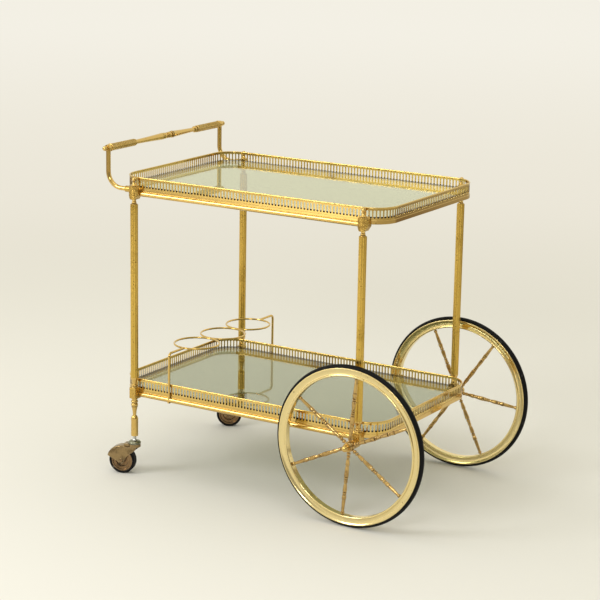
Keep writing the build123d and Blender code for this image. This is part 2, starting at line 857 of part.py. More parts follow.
def handle_knob(side):
    """Ball that closes one end of the crossbar."""
    flange_length = 1.0
    neck = (knob_neck_length - flange_length, knob_neck_radius, knob_neck_radius, 0.0)
    rise = math.sqrt(knob_radius**2 - knob_neck_radius**2)
    body = turned([(flange_length, 4.6, 4.6, 0.0), neck, (rise, knob_neck_radius, knob_neck_radius, 0.0)])
    body += Pos(0, 0, knob_neck_length + rise) * Sphere(knob_radius)
    seat = side * (post_y + handle_eye_half_width)
    return Pos(handle_x, seat, handle_level) * around_y(side) * body - handle_rod(rod_bore_gap)


def holder_ring_place(index):
    """Centre of one of the bottle holder's rings, counted from the right."""
    return Pos(holder_x, (index - 1) * 2 * holder_ring_outer_radius, holder_height)


def holder_ring(index):
    """Round wire ring that holds the neck or the body of a bottle."""
    return holder_ring_place(index) * Torus(
        holder_ring_outer_radius - holder_ring_wire_radius, holder_ring_wire_radius
    )


def holder_wire(side):
    """Upright that is stepped down through the moulding and bends inwards to the nearest ring."""
    x, y = holder_x, side * holder_y
    start = (x, y, holder_shoulder)
    end = (x, side * (3 * holder_ring_outer_radius - holder_ring_wire_radius), holder_height)
    path = FilletPolyline(start, (x, y, holder_height), end, radius=holder_bend_radius)
    wire = sweep(Plane(origin=start, z_dir=(0, 0, 1)) * Circle(holder_wire_radius), path=path)
    wire += rod(holder_spigot_radius, (x, y, lower_rim_bottom - holder_spigot_reach), start)
    return wire - holder_ring(2 if side == LEFT else 0)


def holder_nut(side):
    """Nut let into the underside of the moulding that holds an upright of the bottle holder."""
    plan = RegularPolygon(holder_nut_radius, 6) - Circle(holder_spigot_radius + holder_hole_gap)
    nut = extrude(plan, amount=holder_nut_height)
    return Pos(holder_x, side * holder_y, lower_rim_bottom) * nut


def caster_place(side):
    """Place and turn of a caster, whose own frame has the swivel axis along Z and the floor at zero."""
    turn = caster_turn_right if side == RIGHT else caster_turn_left
    return Pos(-post_x, side * post_y, 0) * Rot(0, 0, turn)


def caster_stem(side):
    """Stem riveted under the crown of the fork and driven into the foot."""
    rivet_height = 1.6
    rivet_bottom = crown_bottom - caster_swivel_gap - rivet_height
    body = rod(caster_stem_radius, (0, 0, rivet_bottom), (0, 0, foot_bottom + foot_socket_depth))
    rivet = Pos(0, 0, rivet_bottom) * turned([(rivet_height, 4.6, 5.2, 0.0)])
    shoulder = Pos(0, 0, cup_top) * turned([(1.0, 5.6, 5.6, 0.0), (3.4, 5.2, caster_stem_radius, -0.4)])
    return caster_place(side) * (body + rivet + shoulder)


def caster_cup(side):
    """Pressed cup over the swivel, fixed to the stem."""
    wall_radius = caster_cup_radius - 0.7
    dome_height = 2.6
    wall = (caster_cup_height - dome_height, wall_radius, wall_radius, 0.7)
    dome = (dome_height, wall_radius - 0.2, caster_cup_radius / 2, 0.9)
    body = turned([wall, dome], caster_stem_radius)
    return caster_place(side) * Pos(0, 0, cup_bottom) * body


def wheel_axis_place(side):
    """Centre of a caster's wheel."""
    return caster_place(side) * Pos(-caster_trail, 0, caster_wheel_radius)


def hood_barrel(radius):
    """Round-shouldered cylinder about the wheel's axis that shapes the hood of a fork."""
    flat = cheek_outer - caster_hood_round
    core = radius - caster_hood_round
    lean = caster_hood_round * math.sqrt(0.5)
    section = outline(
        (0, -cheek_outer),
        (core, -cheek_outer),
        ((core + lean, -flat - lean), (radius, -flat)),
        (radius, flat),
        ((core + lean, flat + lean), (core, cheek_outer)),
        (0, cheek_outer),
    )
    return Rot(90, 0, 0) * revolve(section, axis=Axis.Z)


def caster_fork(side):
    """Pressed fork: a round crown, two cheeks and the hood that joins them over the wheel."""
    inner = caster_wheel_radius + caster_hood_gap
    hood = inner + caster_hood_thickness
    crown_level = crown_bottom - caster_wheel_radius
    front = caster_trail + caster_nose

    def on_hood(angle):
        return hood * math.cos(angle), hood * math.sin(angle)

    back_angle = math.radians(caster_hood_back_angle)
    front_angle = math.asin(crown_level / hood)
    hood_front = on_hood(front_angle)[0]
    eye_lean = caster_eye_radius * math.sqrt(0.5)
    cheek = outline(
        on_hood(back_angle),
        (on_hood((back_angle + front_angle) / 2), on_hood(front_angle)),
        (front, crown_level),
        (front, crown_level - caster_cheek_step),
        (caster_eye_radius + 7.0, caster_eye_radius + 5.0),
        (caster_eye_radius, 0),
        ((eye_lean, -eye_lean), (0, -caster_eye_radius)),
    )
    neck_back = hood_front - caster_hood_round
    neck_levels = (-caster_eye_radius - 1, crown_level + 1)
    neck = block((neck_back, front + 1), (-cheek_outer, cheek_outer), neck_levels)
    body = extrude(cheek, amount=cheek_outer, both=True, dir=(0, 1, 0)) & (hood_barrel(hood) + neck)
    body -= rod(inner, (0, -cheek_inner, 0), (0, cheek_inner, 0))
    body -= block((hood_front, front + 1), (-cheek_inner, cheek_inner), (-inner, crown_level))
    body = Pos(-caster_trail, 0, caster_wheel_radius) * body
    crown_back = hood_front / 2 - caster_trail
    crown_half_width = cheek_outer - caster_hood_round
    body += block((crown_back, 0), (-crown_half_width, crown_half_width), (crown_bottom, crown_top))
    body += rod(caster_crown_radius, (0, 0, crown_bottom), (0, 0, crown_top))
    body -= rod(caster_stem_radius + caster_running_gap, (0, 0, 0), (0, 0, cup_top))
    bore_ends = [(-caster_trail, reach, caster_wheel_radius) for reach in (-cheek_outer - 1, cheek_outer + 1)]
    body -= rod(caster_pin_radius + rod_bore_gap, *bore_ends)
    return caster_place(side) * body


def caster_pin(side):
    """Riveted pin on which the caster's wheel turns."""
    half = cheek_outer + caster_pin_head_height
    features = [
        (caster_pin_head_height, caster_pin_head_radius - 0.5, caster_pin_head_radius, 0.0),
        (2 * cheek_outer, caster_pin_radius, caster_pin_radius, 0.0),
        (caster_pin_head_height, caster_pin_head_radius, caster_pin_head_radius - 0.5, 0.0),
    ]
    return wheel_axis_place(side) * Rot(90, 0, 0) * Pos(0, 0, -half) * turned(features)


def caster_disc(side):
    """Pressed brass body of the caster's wheel, with stepped faces."""
    hub_half = cheek_inner - caster_swivel_gap
    web_half = 3.0
    step_half = 5.0
    edge_half = 6.6
    step = 12.5
    flange = caster_disc_radius - 3.2
    quarter = [
        (caster_hub_radius, hub_half),
        (caster_hub_radius, web_half),
        (step, web_half),
        (step + 1.2, step_half),
        (flange, step_half),
        (flange + 0.8, edge_half),
        (caster_disc_radius, edge_half),
    ]
    bore = caster_pin_radius + axle_running_gap
    section = outline((bore, hub_half), *quarter, *[(r, -z) for r, z in reversed(quarter)], (bore, -hub_half))
    return wheel_axis_place(side) * Rot(90, 0, 0) * revolve(section, axis=Axis.Z)


def caster_tyre(side):
    """Rubber ring of the caster's wheel."""
    half = caster_wheel_width / 2
    edge = 2.2
    section = outline(
        (caster_disc_radius, -half + edge / 2),
        (caster_wheel_radius - edge, -half),
        ((caster_wheel_radius - 0.3 * edge, -half + 0.3 * edge), (caster_wheel_radius, -half + edge)),
        (caster_wheel_radius, half - edge),
        ((caster_wheel_radius - 0.3 * edge, half - 0.3 * edge), (caster_wheel_radius - edge, half)),
        (caster_disc_radius, half - edge / 2),
    )
    return wheel_axis_place(side) * Rot(90, 0, 0) * revolve(section, axis=Axis.Z)


def save_trays():
    """Writes the mouldings, galleries and glass plates of both trays."""
    for name, ledge in (("upper", upper_ledge), ("lower", lower_ledge)):
        bores = [bore for end, side in CORNERS for bore in screw_bores(ledge, end, side)]
        if name == "lower":
            bores += holder_bores(RIGHT) + holder_bores(LEFT)
        save(f"{name}_moulding", moulding_ring(ledge) - bores)
        save(f"{name}_gallery", gallery_ring(ledge))
        save(f"{name}_glass", glass_plate(ledge))


def save_corners():
    """Writes the posts, their turned ends, their brackets, and what holds them together."""
    at_corner = [Pos(end * post_x, side * post_y, 0) for end, side in CORNERS]
    for (end, side), place in zip(CORNERS, at_corner):
        where = f"{END_NAMES[end]}_{SIDE_NAMES[side]}"
        save(f"post_{where}", place * Pos(0, 0, post_bottom) * post())
        save(f"upper_bracket_{where}", upper_bracket(end, side))
        save(f"lower_bracket_{where}", lower_bracket(end, side))
    save("post_necks", *[place * Pos(0, 0, post_top) * neck() for place in at_corner])
    save("post_collars", *[place * Pos(0, 0, block_top) * collar() for place in at_corner])
    save("finials", *[place * Pos(0, 0, upper_bracket_top) * finial() for place in at_corner])
    save("tie_rods", *[tie_rod(end, side) for end, side in CORNERS])
    places = [(ledge, end, side) for ledge in (upper_ledge, lower_ledge) for end, side in CORNERS]
    save("bracket_screws", *[piece for place in places for piece in screws(*place)])


def save_wheels():
    """Writes the axle and both large wheels."""
    save("axle", axle())
    save("axle_caps", axle_cap(RIGHT), axle_cap(LEFT))
    save("axle_washers", axle_washer(RIGHT), axle_washer(LEFT))
    for side, name in SIDE_NAMES.items():
        place = wheel_place(side)
        save(f"wheel_{name}_hub", wheel_hub(side))
        save(f"wheel_{name}_spokes", *[place * turn * spoke() for turn in spoke_turns(side)])
        save(f"wheel_{name}_rim", wheel_rim(side))
        save(f"wheel_{name}_tyre", wheel_tyre(side))


def save_handle():
    """Writes the handle."""
    save("handle_bar", handle_bar())
    save("handle_rod", handle_rod())
    save("handle_knobs", handle_knob(RIGHT), handle_knob(LEFT))
    for side, name in SIDE_NAMES.items():
        save(f"handle_arm_{name}", handle_arm(side))
        save(f"handle_grip_{name}", handle_grip(side))


def save_bottle_holder():
    """Writes the bottle holder over the lower tray."""
    for index, name in enumerate(("right", "middle", "left")):
        save(f"holder_ring_{name}", holder_ring(index))
    for side, name in SIDE_NAMES.items():
        save(f"holder_wire_{name}", holder_wire(side))
    save("holder_nuts", holder_nut(RIGHT), holder_nut(LEFT))


def save_casters():
    """Writes the feet and the casters under the handle end."""
    save("caster_stems", caster_stem(RIGHT), caster_stem(LEFT))
    save("caster_cups", caster_cup(RIGHT), caster_cup(LEFT))
    for side, name in SIDE_NAMES.items():
        save(f"foot_{name}", caster_place(side) * Pos(0, 0, foot_bottom) * foot())
        save(f"caster_{name}_fork", caster_fork(side))
        save(f"caster_{name}_pin", caster_pin(side))
        save(f"caster_{name}_disc", caster_disc(side))
        save(f"caster_{name}_tyre", caster_tyre(side))


os.makedirs("parts", exist_ok=True)
save_trays()
save_corners()
save_wheels()
save_handle()
save_bottle_holder()
save_casters()
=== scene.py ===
"""Looks of a brass bar cart: its finishes, its finely shaped pieces, the stage and the camera.

Lengths are metres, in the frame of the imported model: the floor is Z = 0, +X points from the handle
end to the wheel end, and +Y is the left-hand side of the person who pushes the cart.
"""

import cmath
import json
import logging
import math
from dataclasses import dataclass
from enum import Enum
from functools import cache
from typing import Sequence

import bmesh
import bpy
from mathutils import Matrix, Vector


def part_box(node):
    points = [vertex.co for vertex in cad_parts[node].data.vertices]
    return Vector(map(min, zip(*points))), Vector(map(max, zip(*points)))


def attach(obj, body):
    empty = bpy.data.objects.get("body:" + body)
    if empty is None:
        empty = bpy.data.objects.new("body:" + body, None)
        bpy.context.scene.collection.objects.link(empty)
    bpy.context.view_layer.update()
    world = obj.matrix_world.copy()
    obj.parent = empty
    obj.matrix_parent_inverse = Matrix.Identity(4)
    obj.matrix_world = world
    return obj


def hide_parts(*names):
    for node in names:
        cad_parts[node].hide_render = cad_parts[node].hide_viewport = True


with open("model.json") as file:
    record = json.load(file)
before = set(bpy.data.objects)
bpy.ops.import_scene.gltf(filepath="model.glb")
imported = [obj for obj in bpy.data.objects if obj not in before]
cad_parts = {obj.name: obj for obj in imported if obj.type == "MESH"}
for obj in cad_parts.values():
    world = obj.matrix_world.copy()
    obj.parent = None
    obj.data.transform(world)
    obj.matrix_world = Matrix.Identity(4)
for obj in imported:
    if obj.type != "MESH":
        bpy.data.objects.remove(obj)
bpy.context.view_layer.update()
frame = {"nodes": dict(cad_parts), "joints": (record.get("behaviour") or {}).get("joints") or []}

log = logging.getLogger("bar_cart")

Colour = tuple[float, float, float]
Point = tuple[float, float]
Point3 = tuple[float, float, float]
Pair = tuple[float, float]
Outline = Sequence[Point]
Socket = bpy.types.NodeSocket
Material = bpy.types.Material
Piece = bpy.types.Object
MM = 0.001
MICRON = 0.000001
BLACK: Colour = (0.0, 0.0, 0.0)


class Side(Enum):
    """Side of the cart, as the sign of its Y."""

    RIGHT = -1
    LEFT = 1

    @property
    def word(self) -> str:
        """The word used in node and body names."""
        return self.name.lower()


class End(Enum):
    """End of the cart, named by what it carries."""

    HANDLE = "handle"
    WHEEL = "wheel"


# Shader graphs


class Graph:
    """Short calls that add and join the nodes of one shader tree."""

    def __init__(self, tree: bpy.types.NodeTree) -> None:
        """Keeps the tree of a material, a world or a node group."""
        self.tree = tree

    def put(self, socket: Socket, value: object) -> None:
        """Links a socket, or sets its value.

        Args:
            socket: Input socket to fill.
            value: Another node's output, or a plain value.
        """
        if isinstance(value, Socket):
            self.tree.links.new(value, socket)
        elif isinstance(value, tuple) and len(value) == 3 and socket.type == "RGBA":
            socket.default_value = (*value, 1.0)
        else:
            socket.default_value = value

    def add(self, kind: str, inputs: dict[str | int, object] | None = None,
            **settings: object) -> bpy.types.Node:
        """Adds one node.

        Args:
            kind: Blender's name of the node type.
            inputs: Values or outputs for its input sockets, by name or index.
            settings: Properties of the node itself.

        Returns:
            The new node.
        """
        node = self.tree.nodes.new(kind)
        for key, value in settings.items():
            setattr(node, key, value)
        for key, value in (inputs or {}).items():
            self.put(node.inputs[key], value)
        return node

    def math(self, operation: str, first: object, second: object = 0.0, clamp: bool = False) -> Socket:
        """Output of a math node, kept between 0 and 1 where clamp is set."""
        inputs = {0: first, 1: second}
        return self.add("ShaderNodeMath", inputs, operation=operation, use_clamp=clamp).outputs[0]

    def times(self, first: object, second: object) -> Socket:
        """Product of two numbers."""
        return self.math("MULTIPLY", first, second)

    def mix(self, factor: object, first: object, second: object) -> Socket:
        """Colour between two colours, which is the first one where the factor is 0."""
        return self.add("ShaderNodeMix", {0: factor, 6: first, 7: second}, data_type="RGBA").outputs[2]

    def blend(self, factor: object, first: object, second: object) -> Socket:
        """Number between two numbers, which is the first one where the factor is 0."""
        return self.add("ShaderNodeMix", {0: factor, 2: first, 3: second}, data_type="FLOAT").outputs[0]

    def smooth(self, value: object, low: object, high: object) -> Socket:
        """Smooth step of a value, from 0 at low to 1 at high."""
        inputs = {"Value": value, "From Min": low, "From Max": high}
        return self.add("ShaderNodeMapRange", inputs, interpolation_type="SMOOTHSTEP").outputs[0]

    def noise(self, vector: object, scale: object, detail: float = 3.0, roughness: float = 0.55,
              distortion: float = 0.0) -> Socket:
        """Fractal noise between 0 and 1, of a scale in cells per metre and a number of octaves."""
        inputs = {"Vector": vector, "Scale": scale, "Detail": detail, "Roughness": roughness,
                  "Distortion": distortion}
        return self.add("ShaderNodeTexNoise", inputs).outputs[0]

    def compare(self, measure: str, first: object, second: object) -> Socket:
        """Distance or dot product of two vectors."""
        inputs = {0: first, 1: second}
        return self.add("ShaderNodeVectorMath", inputs, operation=measure).outputs["Value"]

    def bump(self, height: object, strength: float = 1.0, distance: float = 1.0) -> Socket:
        """Normal that follows a height in metres, or in other units of distance."""
        inputs = {"Height": height, "Strength": strength, "Distance": distance}
        return self.add("ShaderNodeBump", inputs).outputs[0]

    def place(self) -> Socket:
        """Place on the piece, in the cart's frame."""
        return self.add("ShaderNodeTexCoord").outputs["Object"]


class Effect:
    """Surface effect that the finishes share, as a node group that is built on its first use."""

    name: str
    inputs: dict[str, float]
    output = "Mask"
    tree: bpy.types.NodeTree | None = None

    @staticmethod
    def fill(graph: Graph, entry: dict[str, Socket]) -> Socket:
        """Adds the nodes of the group.

        Args:
            graph: Graph of the group.
            entry: Its inputs.

        Returns:
            What it puts out.
        """
        raise NotImplementedError

    @classmethod
    def build(cls) -> None:
        """Builds the group."""
        cls.tree = bpy.data.node_groups.new(cls.name, "ShaderNodeTree")
        sockets = cls.tree.interface
        for label, default in cls.inputs.items():
            socket = sockets.new_socket(name=label, in_out="INPUT", socket_type="NodeSocketFloat")
            socket.default_value = default
        sockets.new_socket(name=cls.output, in_out="OUTPUT", socket_type="NodeSocketFloat")
        graph = Graph(cls.tree)
        entry = graph.add("NodeGroupInput")
        leave = graph.add("NodeGroupOutput")
        graph.put(leave.inputs[cls.output], cls.fill(graph, entry.outputs))

    @classmethod
    def use(cls, graph: Graph, **values: object) -> Socket:
        """Places the group in a material.

        Args:
            graph: Graph of the material.
            values: Its input values, with words joined by underscores.

        Returns:
            What it puts out.
        """
        if cls.tree is None:
            cls.build()
        node = graph.add("ShaderNodeGroup", node_tree=cls.tree)
        for label, value in values.items():
            graph.put(node.inputs[label.replace("_", " ").capitalize()], value)
        return node.outputs[0]


class EdgeWear(Effect):
    """Mask of rubbed edges, broken up by noise."""

    name = "edge wear"
    inputs = {"Radius": 0.6 * MM, "Scale": 60.0, "Strength": 1.0}

    @staticmethod
    def fill(graph: Graph, entry: dict[str, Socket]) -> Socket:
        """Compares the rounded normal with the true one.

        Args:
            graph: Graph of the group.
            entry: Its inputs.

        Returns:
            The mask.
        """
        rounded = graph.add("ShaderNodeBevel", {"Radius": entry["Radius"]}, samples=4).outputs[0]
        true_normal = graph.add("ShaderNodeNewGeometry").outputs["True Normal"]
        turn = graph.compare("DOT_PRODUCT", rounded, true_normal)
        edge = graph.smooth(graph.math("SUBTRACT", 1.0, turn, clamp=True), low=0.01, high=0.16)
        patch = graph.smooth(graph.noise(graph.place(), entry["Scale"], detail=4.0), low=0.3, high=0.6)
        return graph.math("MULTIPLY", graph.times(edge, patch), entry["Strength"], clamp=True)


class Grime(Effect):
    """Mask of the dirt that stays in corners and grooves and of the shade that falls there: partly real
    grime, partly painted shade.
    """

    # Darkens closed-in corners and grooves, where grime sits and shade falls: partly real grime, partly
    # painted shade.
    name = "crevice grime"
    inputs = {"Reach": 4 * MM, "Strength": 1.0}

    @staticmethod
    def fill(graph: Graph, entry: dict[str, Socket]) -> Socket:
        """Reads how closed in a point is.

        Args:
            graph: Graph of the group.
            entry: Its inputs.

        Returns:
            The mask.
        """
        thinnest, thickest = 0.55, 1.25
        open_sky = graph.add("ShaderNodeAmbientOcclusion", {"Distance": entry["Reach"]}, samples=6)
        closed = graph.math("SUBTRACT", 1.0, open_sky.outputs["AO"], clamp=True)
        patch = graph.blend(graph.noise(graph.place(), scale=45.0, detail=4.0), thinnest, thickest)
        depth = graph.times(graph.smooth(closed, low=0.12, high=0.85), patch)
        return graph.math("MULTIPLY", depth, entry["Strength"], clamp=True)


class Clouds(Effect):
    """Mask of soft patches, such as tarnish or wiped lacquer."""

    name = "soft patches"
    inputs = {"Scale": 20.0, "Coverage": 0.5, "Softness": 0.15}

    @staticmethod
    def fill(graph: Graph, entry: dict[str, Socket]) -> Socket:
        """Cuts patches out of two sizes of noise.

        Args:
            graph: Graph of the group.
            entry: Its inputs.

        Returns:
            The mask.
        """
        finer, broad_share, bare_level, covered_drop = 6.0, 0.75, 0.72, 0.45
        broad = graph.noise(graph.place(), entry["Scale"], detail=5.0, roughness=0.6, distortion=0.5)
        fine = graph.noise(graph.place(), graph.times(entry["Scale"], finer), detail=4.0, roughness=0.65)
        both = graph.math("ADD", graph.times(broad, broad_share), graph.times(fine, 1.0 - broad_share))
        low = graph.math("SUBTRACT", bare_level, graph.times(entry["Coverage"], covered_drop))
        return graph.smooth(both, low, graph.math("ADD", low, entry["Softness"]))


class Spots(Effect):
    """Mask of small separate spots."""

    name = "spots"
    inputs = {"Scale": 220.0, "Size": 0.45, "Density": 0.2}

    @staticmethod
    def fill(graph: Graph, entry: dict[str, Socket]) -> Socket:
        """Keeps a share of bent cells and gives each a spot of its own size.

        Args:
            graph: Graph of the group.
            entry: Its inputs.

        Returns:
            The mask.
        """
        bend_fineness, bend_reach, soft_edge = 2.2, 0.9, 0.12
        inputs = {"Vector": graph.place(), "Scale": graph.times(entry["Scale"], bend_fineness), "Detail": 3.0}
        bend = graph.add("ShaderNodeTexNoise", inputs).outputs["Color"]
        reach = graph.math("DIVIDE", bend_reach, entry["Scale"])
        moved = graph.add("ShaderNodeVectorMath", {0: bend, 3: reach}, operation="SCALE").outputs[0]
        place = graph.add("ShaderNodeVectorMath", {0: graph.place(), 1: moved}).outputs[0]
        cells = graph.add("ShaderNodeTexVoronoi", {"Vector": place, "Scale": entry["Scale"]}).outputs
        chance = graph.add("ShaderNodeSeparateColor", {0: cells["Color"]}).outputs
        near = graph.math("SUBTRACT", graph.times(chance[0], entry["Size"]), cells["Distance"])
        kept = graph.math("LESS_THAN", chance[1], entry["Density"])
        return graph.times(graph.smooth(near, low=0.0, high=soft_edge), kept)


class Rubbing(Effect):
    """Height of fine rubbing lines, drawn out along the piece by three scales."""

    name = "rubbing lines"
    inputs = {"Scale": 900.0, "Along x": 1.0, "Along y": 1.0, "Along z": 1.0}
    output = "Height"

    @staticmethod
    def fill(graph: Graph, entry: dict[str, Socket]) -> Socket:
        """Stretches fine noise along the lay of the lines.

        Args:
            graph: Graph of the group.
            entry: Its inputs.

        Returns:
            The height.
        """
        parts = graph.add("ShaderNodeSeparateXYZ", {0: graph.place()}).outputs
        drawn = {index: graph.times(parts[index], entry[f"Along {axis}"]) for index, axis in enumerate("xyz")}
        vector = graph.add("ShaderNodeCombineXYZ", drawn).outputs[0]
        return graph.noise(vector, entry["Scale"], roughness=0.6)


class Casting(Effect):
    """Height of cast ornament: rounded lobes with pits between them."""

    name = "casting"
    inputs = {"Scale": 330.0}
    output = "Height"

    @staticmethod
    def fill(graph: Graph, entry: dict[str, Socket]) -> Socket:
        """Rounds the cells of a bent Voronoi pattern and adds the grain of the mould.

        Args:
            graph: Graph of the group.
            entry: Its inputs.

        Returns:
            The height.
        """
        bend_share, grain_share = 0.03, 0.25
        bend = graph.times(graph.noise(graph.place(), scale=120.0, detail=2.0), bend_share)
        inputs = {0: graph.place(), 3: graph.math("ADD", 1.0, bend)}
        place = graph.add("ShaderNodeVectorMath", inputs, operation="SCALE").outputs[0]
        inputs = {"Vector": place, "Scale": entry["Scale"]}
        cells = graph.add("ShaderNodeTexVoronoi", inputs, feature="SMOOTH_F1").outputs
        lobe = graph.math("SUBTRACT", 1.0, graph.smooth(cells["Distance"], low=0.05, high=0.75))
        grain = graph.noise(graph.place(), scale=900.0, roughness=0.6)
        return graph.math("ADD", lobe, graph.times(grain, grain_share))


# Finishes


def shader(name: str) -> tuple[Material, Graph, dict]:
    """New material, with its graph and the inputs of its Principled shader.

    Args:
        name: Name of the material.

    Returns:
        The material, its graph and the inputs.
    """
    material = bpy.data.materials.new(name)
    material.use_nodes = True
    return material, Graph(material.node_tree), material.node_tree.nodes["Principled BSDF"].inputs


@dataclass(frozen=True)
class BrassFinish:
    """Brass in one state of polish and age.

    The colours are what the metal reflects: fresh where it is clean, aged where it has tarnished,
    dirt and painted shade in its corners and bright on its rubbed edges. The roughness is that of
    fresh and of aged metal. Patches have a scale and a coverage, spots a scale and a density, and the
    grime and painted shade of the corners a reach and a strength.
    """

    name: str
    fresh: Colour
    aged: Colour
    dirt: Colour
    bright: Colour
    roughness: Pair
    patches: Pair
    spots: Pair
    grime: Pair
    wear: float
    lacquer: float
    lay: Point3 = (1.0, 1.0, 1.0)
    line_height: float = 4 * MICRON
    cast_height: float = 0.0
    cast_scale: float = 330.0
    wipe_fineness: float = 2.7
    wipe_brightness: float = 0.25
    wipe_roughness: float = 0.05
    spot_share: float = 0.75
    spot_depth: float = 6 * MICRON
    spot_roughness: float = 0.6
    grime_roughness: float = 0.62
    grime_metal: float = 0.7
    lacquer_roughness: float = 0.12

    def make(self) -> Material:
        """Builds the material.

        Returns:
            The material.
        """
        material, graph, surface = shader(self.name)
        scale, coverage = self.patches
        patches = Clouds.use(graph, scale=scale, coverage=coverage, softness=0.2)
        wiped = Clouds.use(graph, scale=scale * self.wipe_fineness, softness=0.4)
        spots = Spots.use(graph, scale=self.spots[0], density=self.spots[1])
        grime = Grime.use(graph, reach=self.grime[0], strength=self.grime[1])
        wear = EdgeWear.use(graph, strength=self.wear)

        colour = graph.mix(patches, self.fresh, self.aged)
        colour = graph.mix(graph.times(wiped, self.wipe_brightness), colour, self.bright)
        colour = graph.mix(wear, colour, self.bright)
        colour = graph.mix(graph.times(spots, self.spot_share), colour, self.dirt)
        # Closed-in corners and grooves darken to the dirt colour: partly real grime, partly painted shade.
        graph.put(surface["Base Color"], graph.mix(grime, colour, self.dirt))

        rough = graph.blend(patches, *self.roughness)
        rough = graph.math("ADD", rough, graph.times(wiped, self.wipe_roughness))
        rough = graph.blend(grime, rough, self.grime_roughness)
        graph.put(surface["Roughness"], graph.blend(spots, rough, self.spot_roughness))
        graph.put(surface["Metallic"], graph.blend(grime, 1.0, self.grime_metal))

        lay_x, lay_y, lay_z = self.lay
        lines = Rubbing.use(graph, along_x=lay_x, along_y=lay_y, along_z=lay_z)
        height = graph.times(lines, self.line_height)
        if self.cast_height:
            hollows = Casting.use(graph, scale=self.cast_scale)
            height = graph.math("ADD", height, graph.times(hollows, self.cast_height))
        height = graph.math("SUBTRACT", height, graph.times(spots, self.spot_depth))
        graph.put(surface["Normal"], graph.bump(height))
        graph.put(surface["Coat Weight"], self.lacquer)
        graph.put(surface["Coat Roughness"], self.lacquer_roughness)
        return material


@dataclass(frozen=True)
class RubberFinish:
    """Black rubber with a grey bloom and a little dust."""

    name: str
    black: Colour
    bloom: Colour
    gloss: float
    dust: float
    dust_colour: Colour = (0.23, 0.21, 0.18)
    bloom_share: float = 0.6
    bloom_roughness: float = 0.16
    sheen: float = 0.15
    grain_height: float = 50 * MICRON

    def make(self) -> Material:
        """Builds the material.

        Returns:
            The material.
        """
        material, graph, surface = shader(self.name)
        patches = Clouds.use(graph, scale=26.0, coverage=0.45, softness=0.3)
        scuffs = Spots.use(graph, scale=160.0, density=0.12, size=0.5)
        colour = graph.mix(graph.times(patches, self.bloom_share), self.black, self.bloom)
        colour = graph.mix(graph.times(scuffs, self.dust), colour, self.dust_colour)
        graph.put(surface["Base Color"], colour)
        graph.put(surface["Roughness"], graph.blend(patches, self.gloss, self.gloss + self.bloom_roughness))
        graph.put(surface["Specular IOR Level"], self.sheen)
        grain = graph.noise(graph.place(), scale=1600.0, roughness=0.6)
        graph.put(surface["Normal"], graph.bump(grain, strength=0.5, distance=self.grain_height))
        return material


@dataclass(frozen=True)
class GlassFinish:
    """Smoked plate glass with faint wipe marks and lint."""

    name: str
    tint: Colour
    clean: float = 0.0
    smeared: float = 0.02
    lint_share: float = 0.5
    lint_roughness: float = 0.2
    lint_tint: float = 0.5
    lint_paleness: float = 0.45
    refraction: float = 1.5

    def make(self) -> Material:
        """Builds the material.

        Returns:
            The material.
        """
        material, graph, surface = shader(self.name)
        smears = Clouds.use(graph, scale=9.0, softness=0.35)
        lint = Spots.use(graph, scale=240.0, density=0.05, size=0.25)
        rough = graph.blend(smears, self.clean, self.smeared)
        graph.put(surface["Roughness"], graph.math("ADD", rough, graph.times(lint, self.lint_roughness)))
        pale = tuple(self.lint_tint * channel + self.lint_paleness for channel in self.tint)
        graph.put(surface["Base Color"], graph.mix(graph.times(lint, self.lint_share), self.tint, pale))
        graph.put(surface["Transmission Weight"], 1.0)
        graph.put(surface["IOR"], self.refraction)
        return material


@dataclass(frozen=True)
class SteelFinish:
    """Zinc plated steel with dull patches and a few rust spots."""

    name: str
    plating: Colour
    dull: Colour
    rust: Colour
    polish: float
    dull_roughness: float = 0.22
    grime_roughness: float = 0.7
    grime_metal: float = 0.55
    line_height: float = 40 * MICRON

    def make(self) -> Material:
        """Builds the material.

        Returns:
            The material.
        """
        material, graph, surface = shader(self.name)
        patches = Clouds.use(graph, scale=60.0, coverage=0.55, softness=0.25)
        spots = Spots.use(graph, scale=420.0, density=0.18)
        grime = Grime.use(graph, reach=0.003, strength=0.8)
        colour = graph.mix(patches, self.plating, self.dull)
        colour = graph.mix(graph.math("MAXIMUM", spots, grime), colour, self.rust)
        graph.put(surface["Base Color"], colour)
        rough = graph.blend(patches, self.polish, self.polish + self.dull_roughness)
        graph.put(surface["Roughness"], graph.blend(grime, rough, self.grime_roughness))
        graph.put(surface["Metallic"], graph.blend(grime, 1.0, self.grime_metal))
        lines = Rubbing.use(graph, scale=1200.0)
        graph.put(surface["Normal"], graph.bump(lines, strength=0.4, distance=self.line_height))
        return material


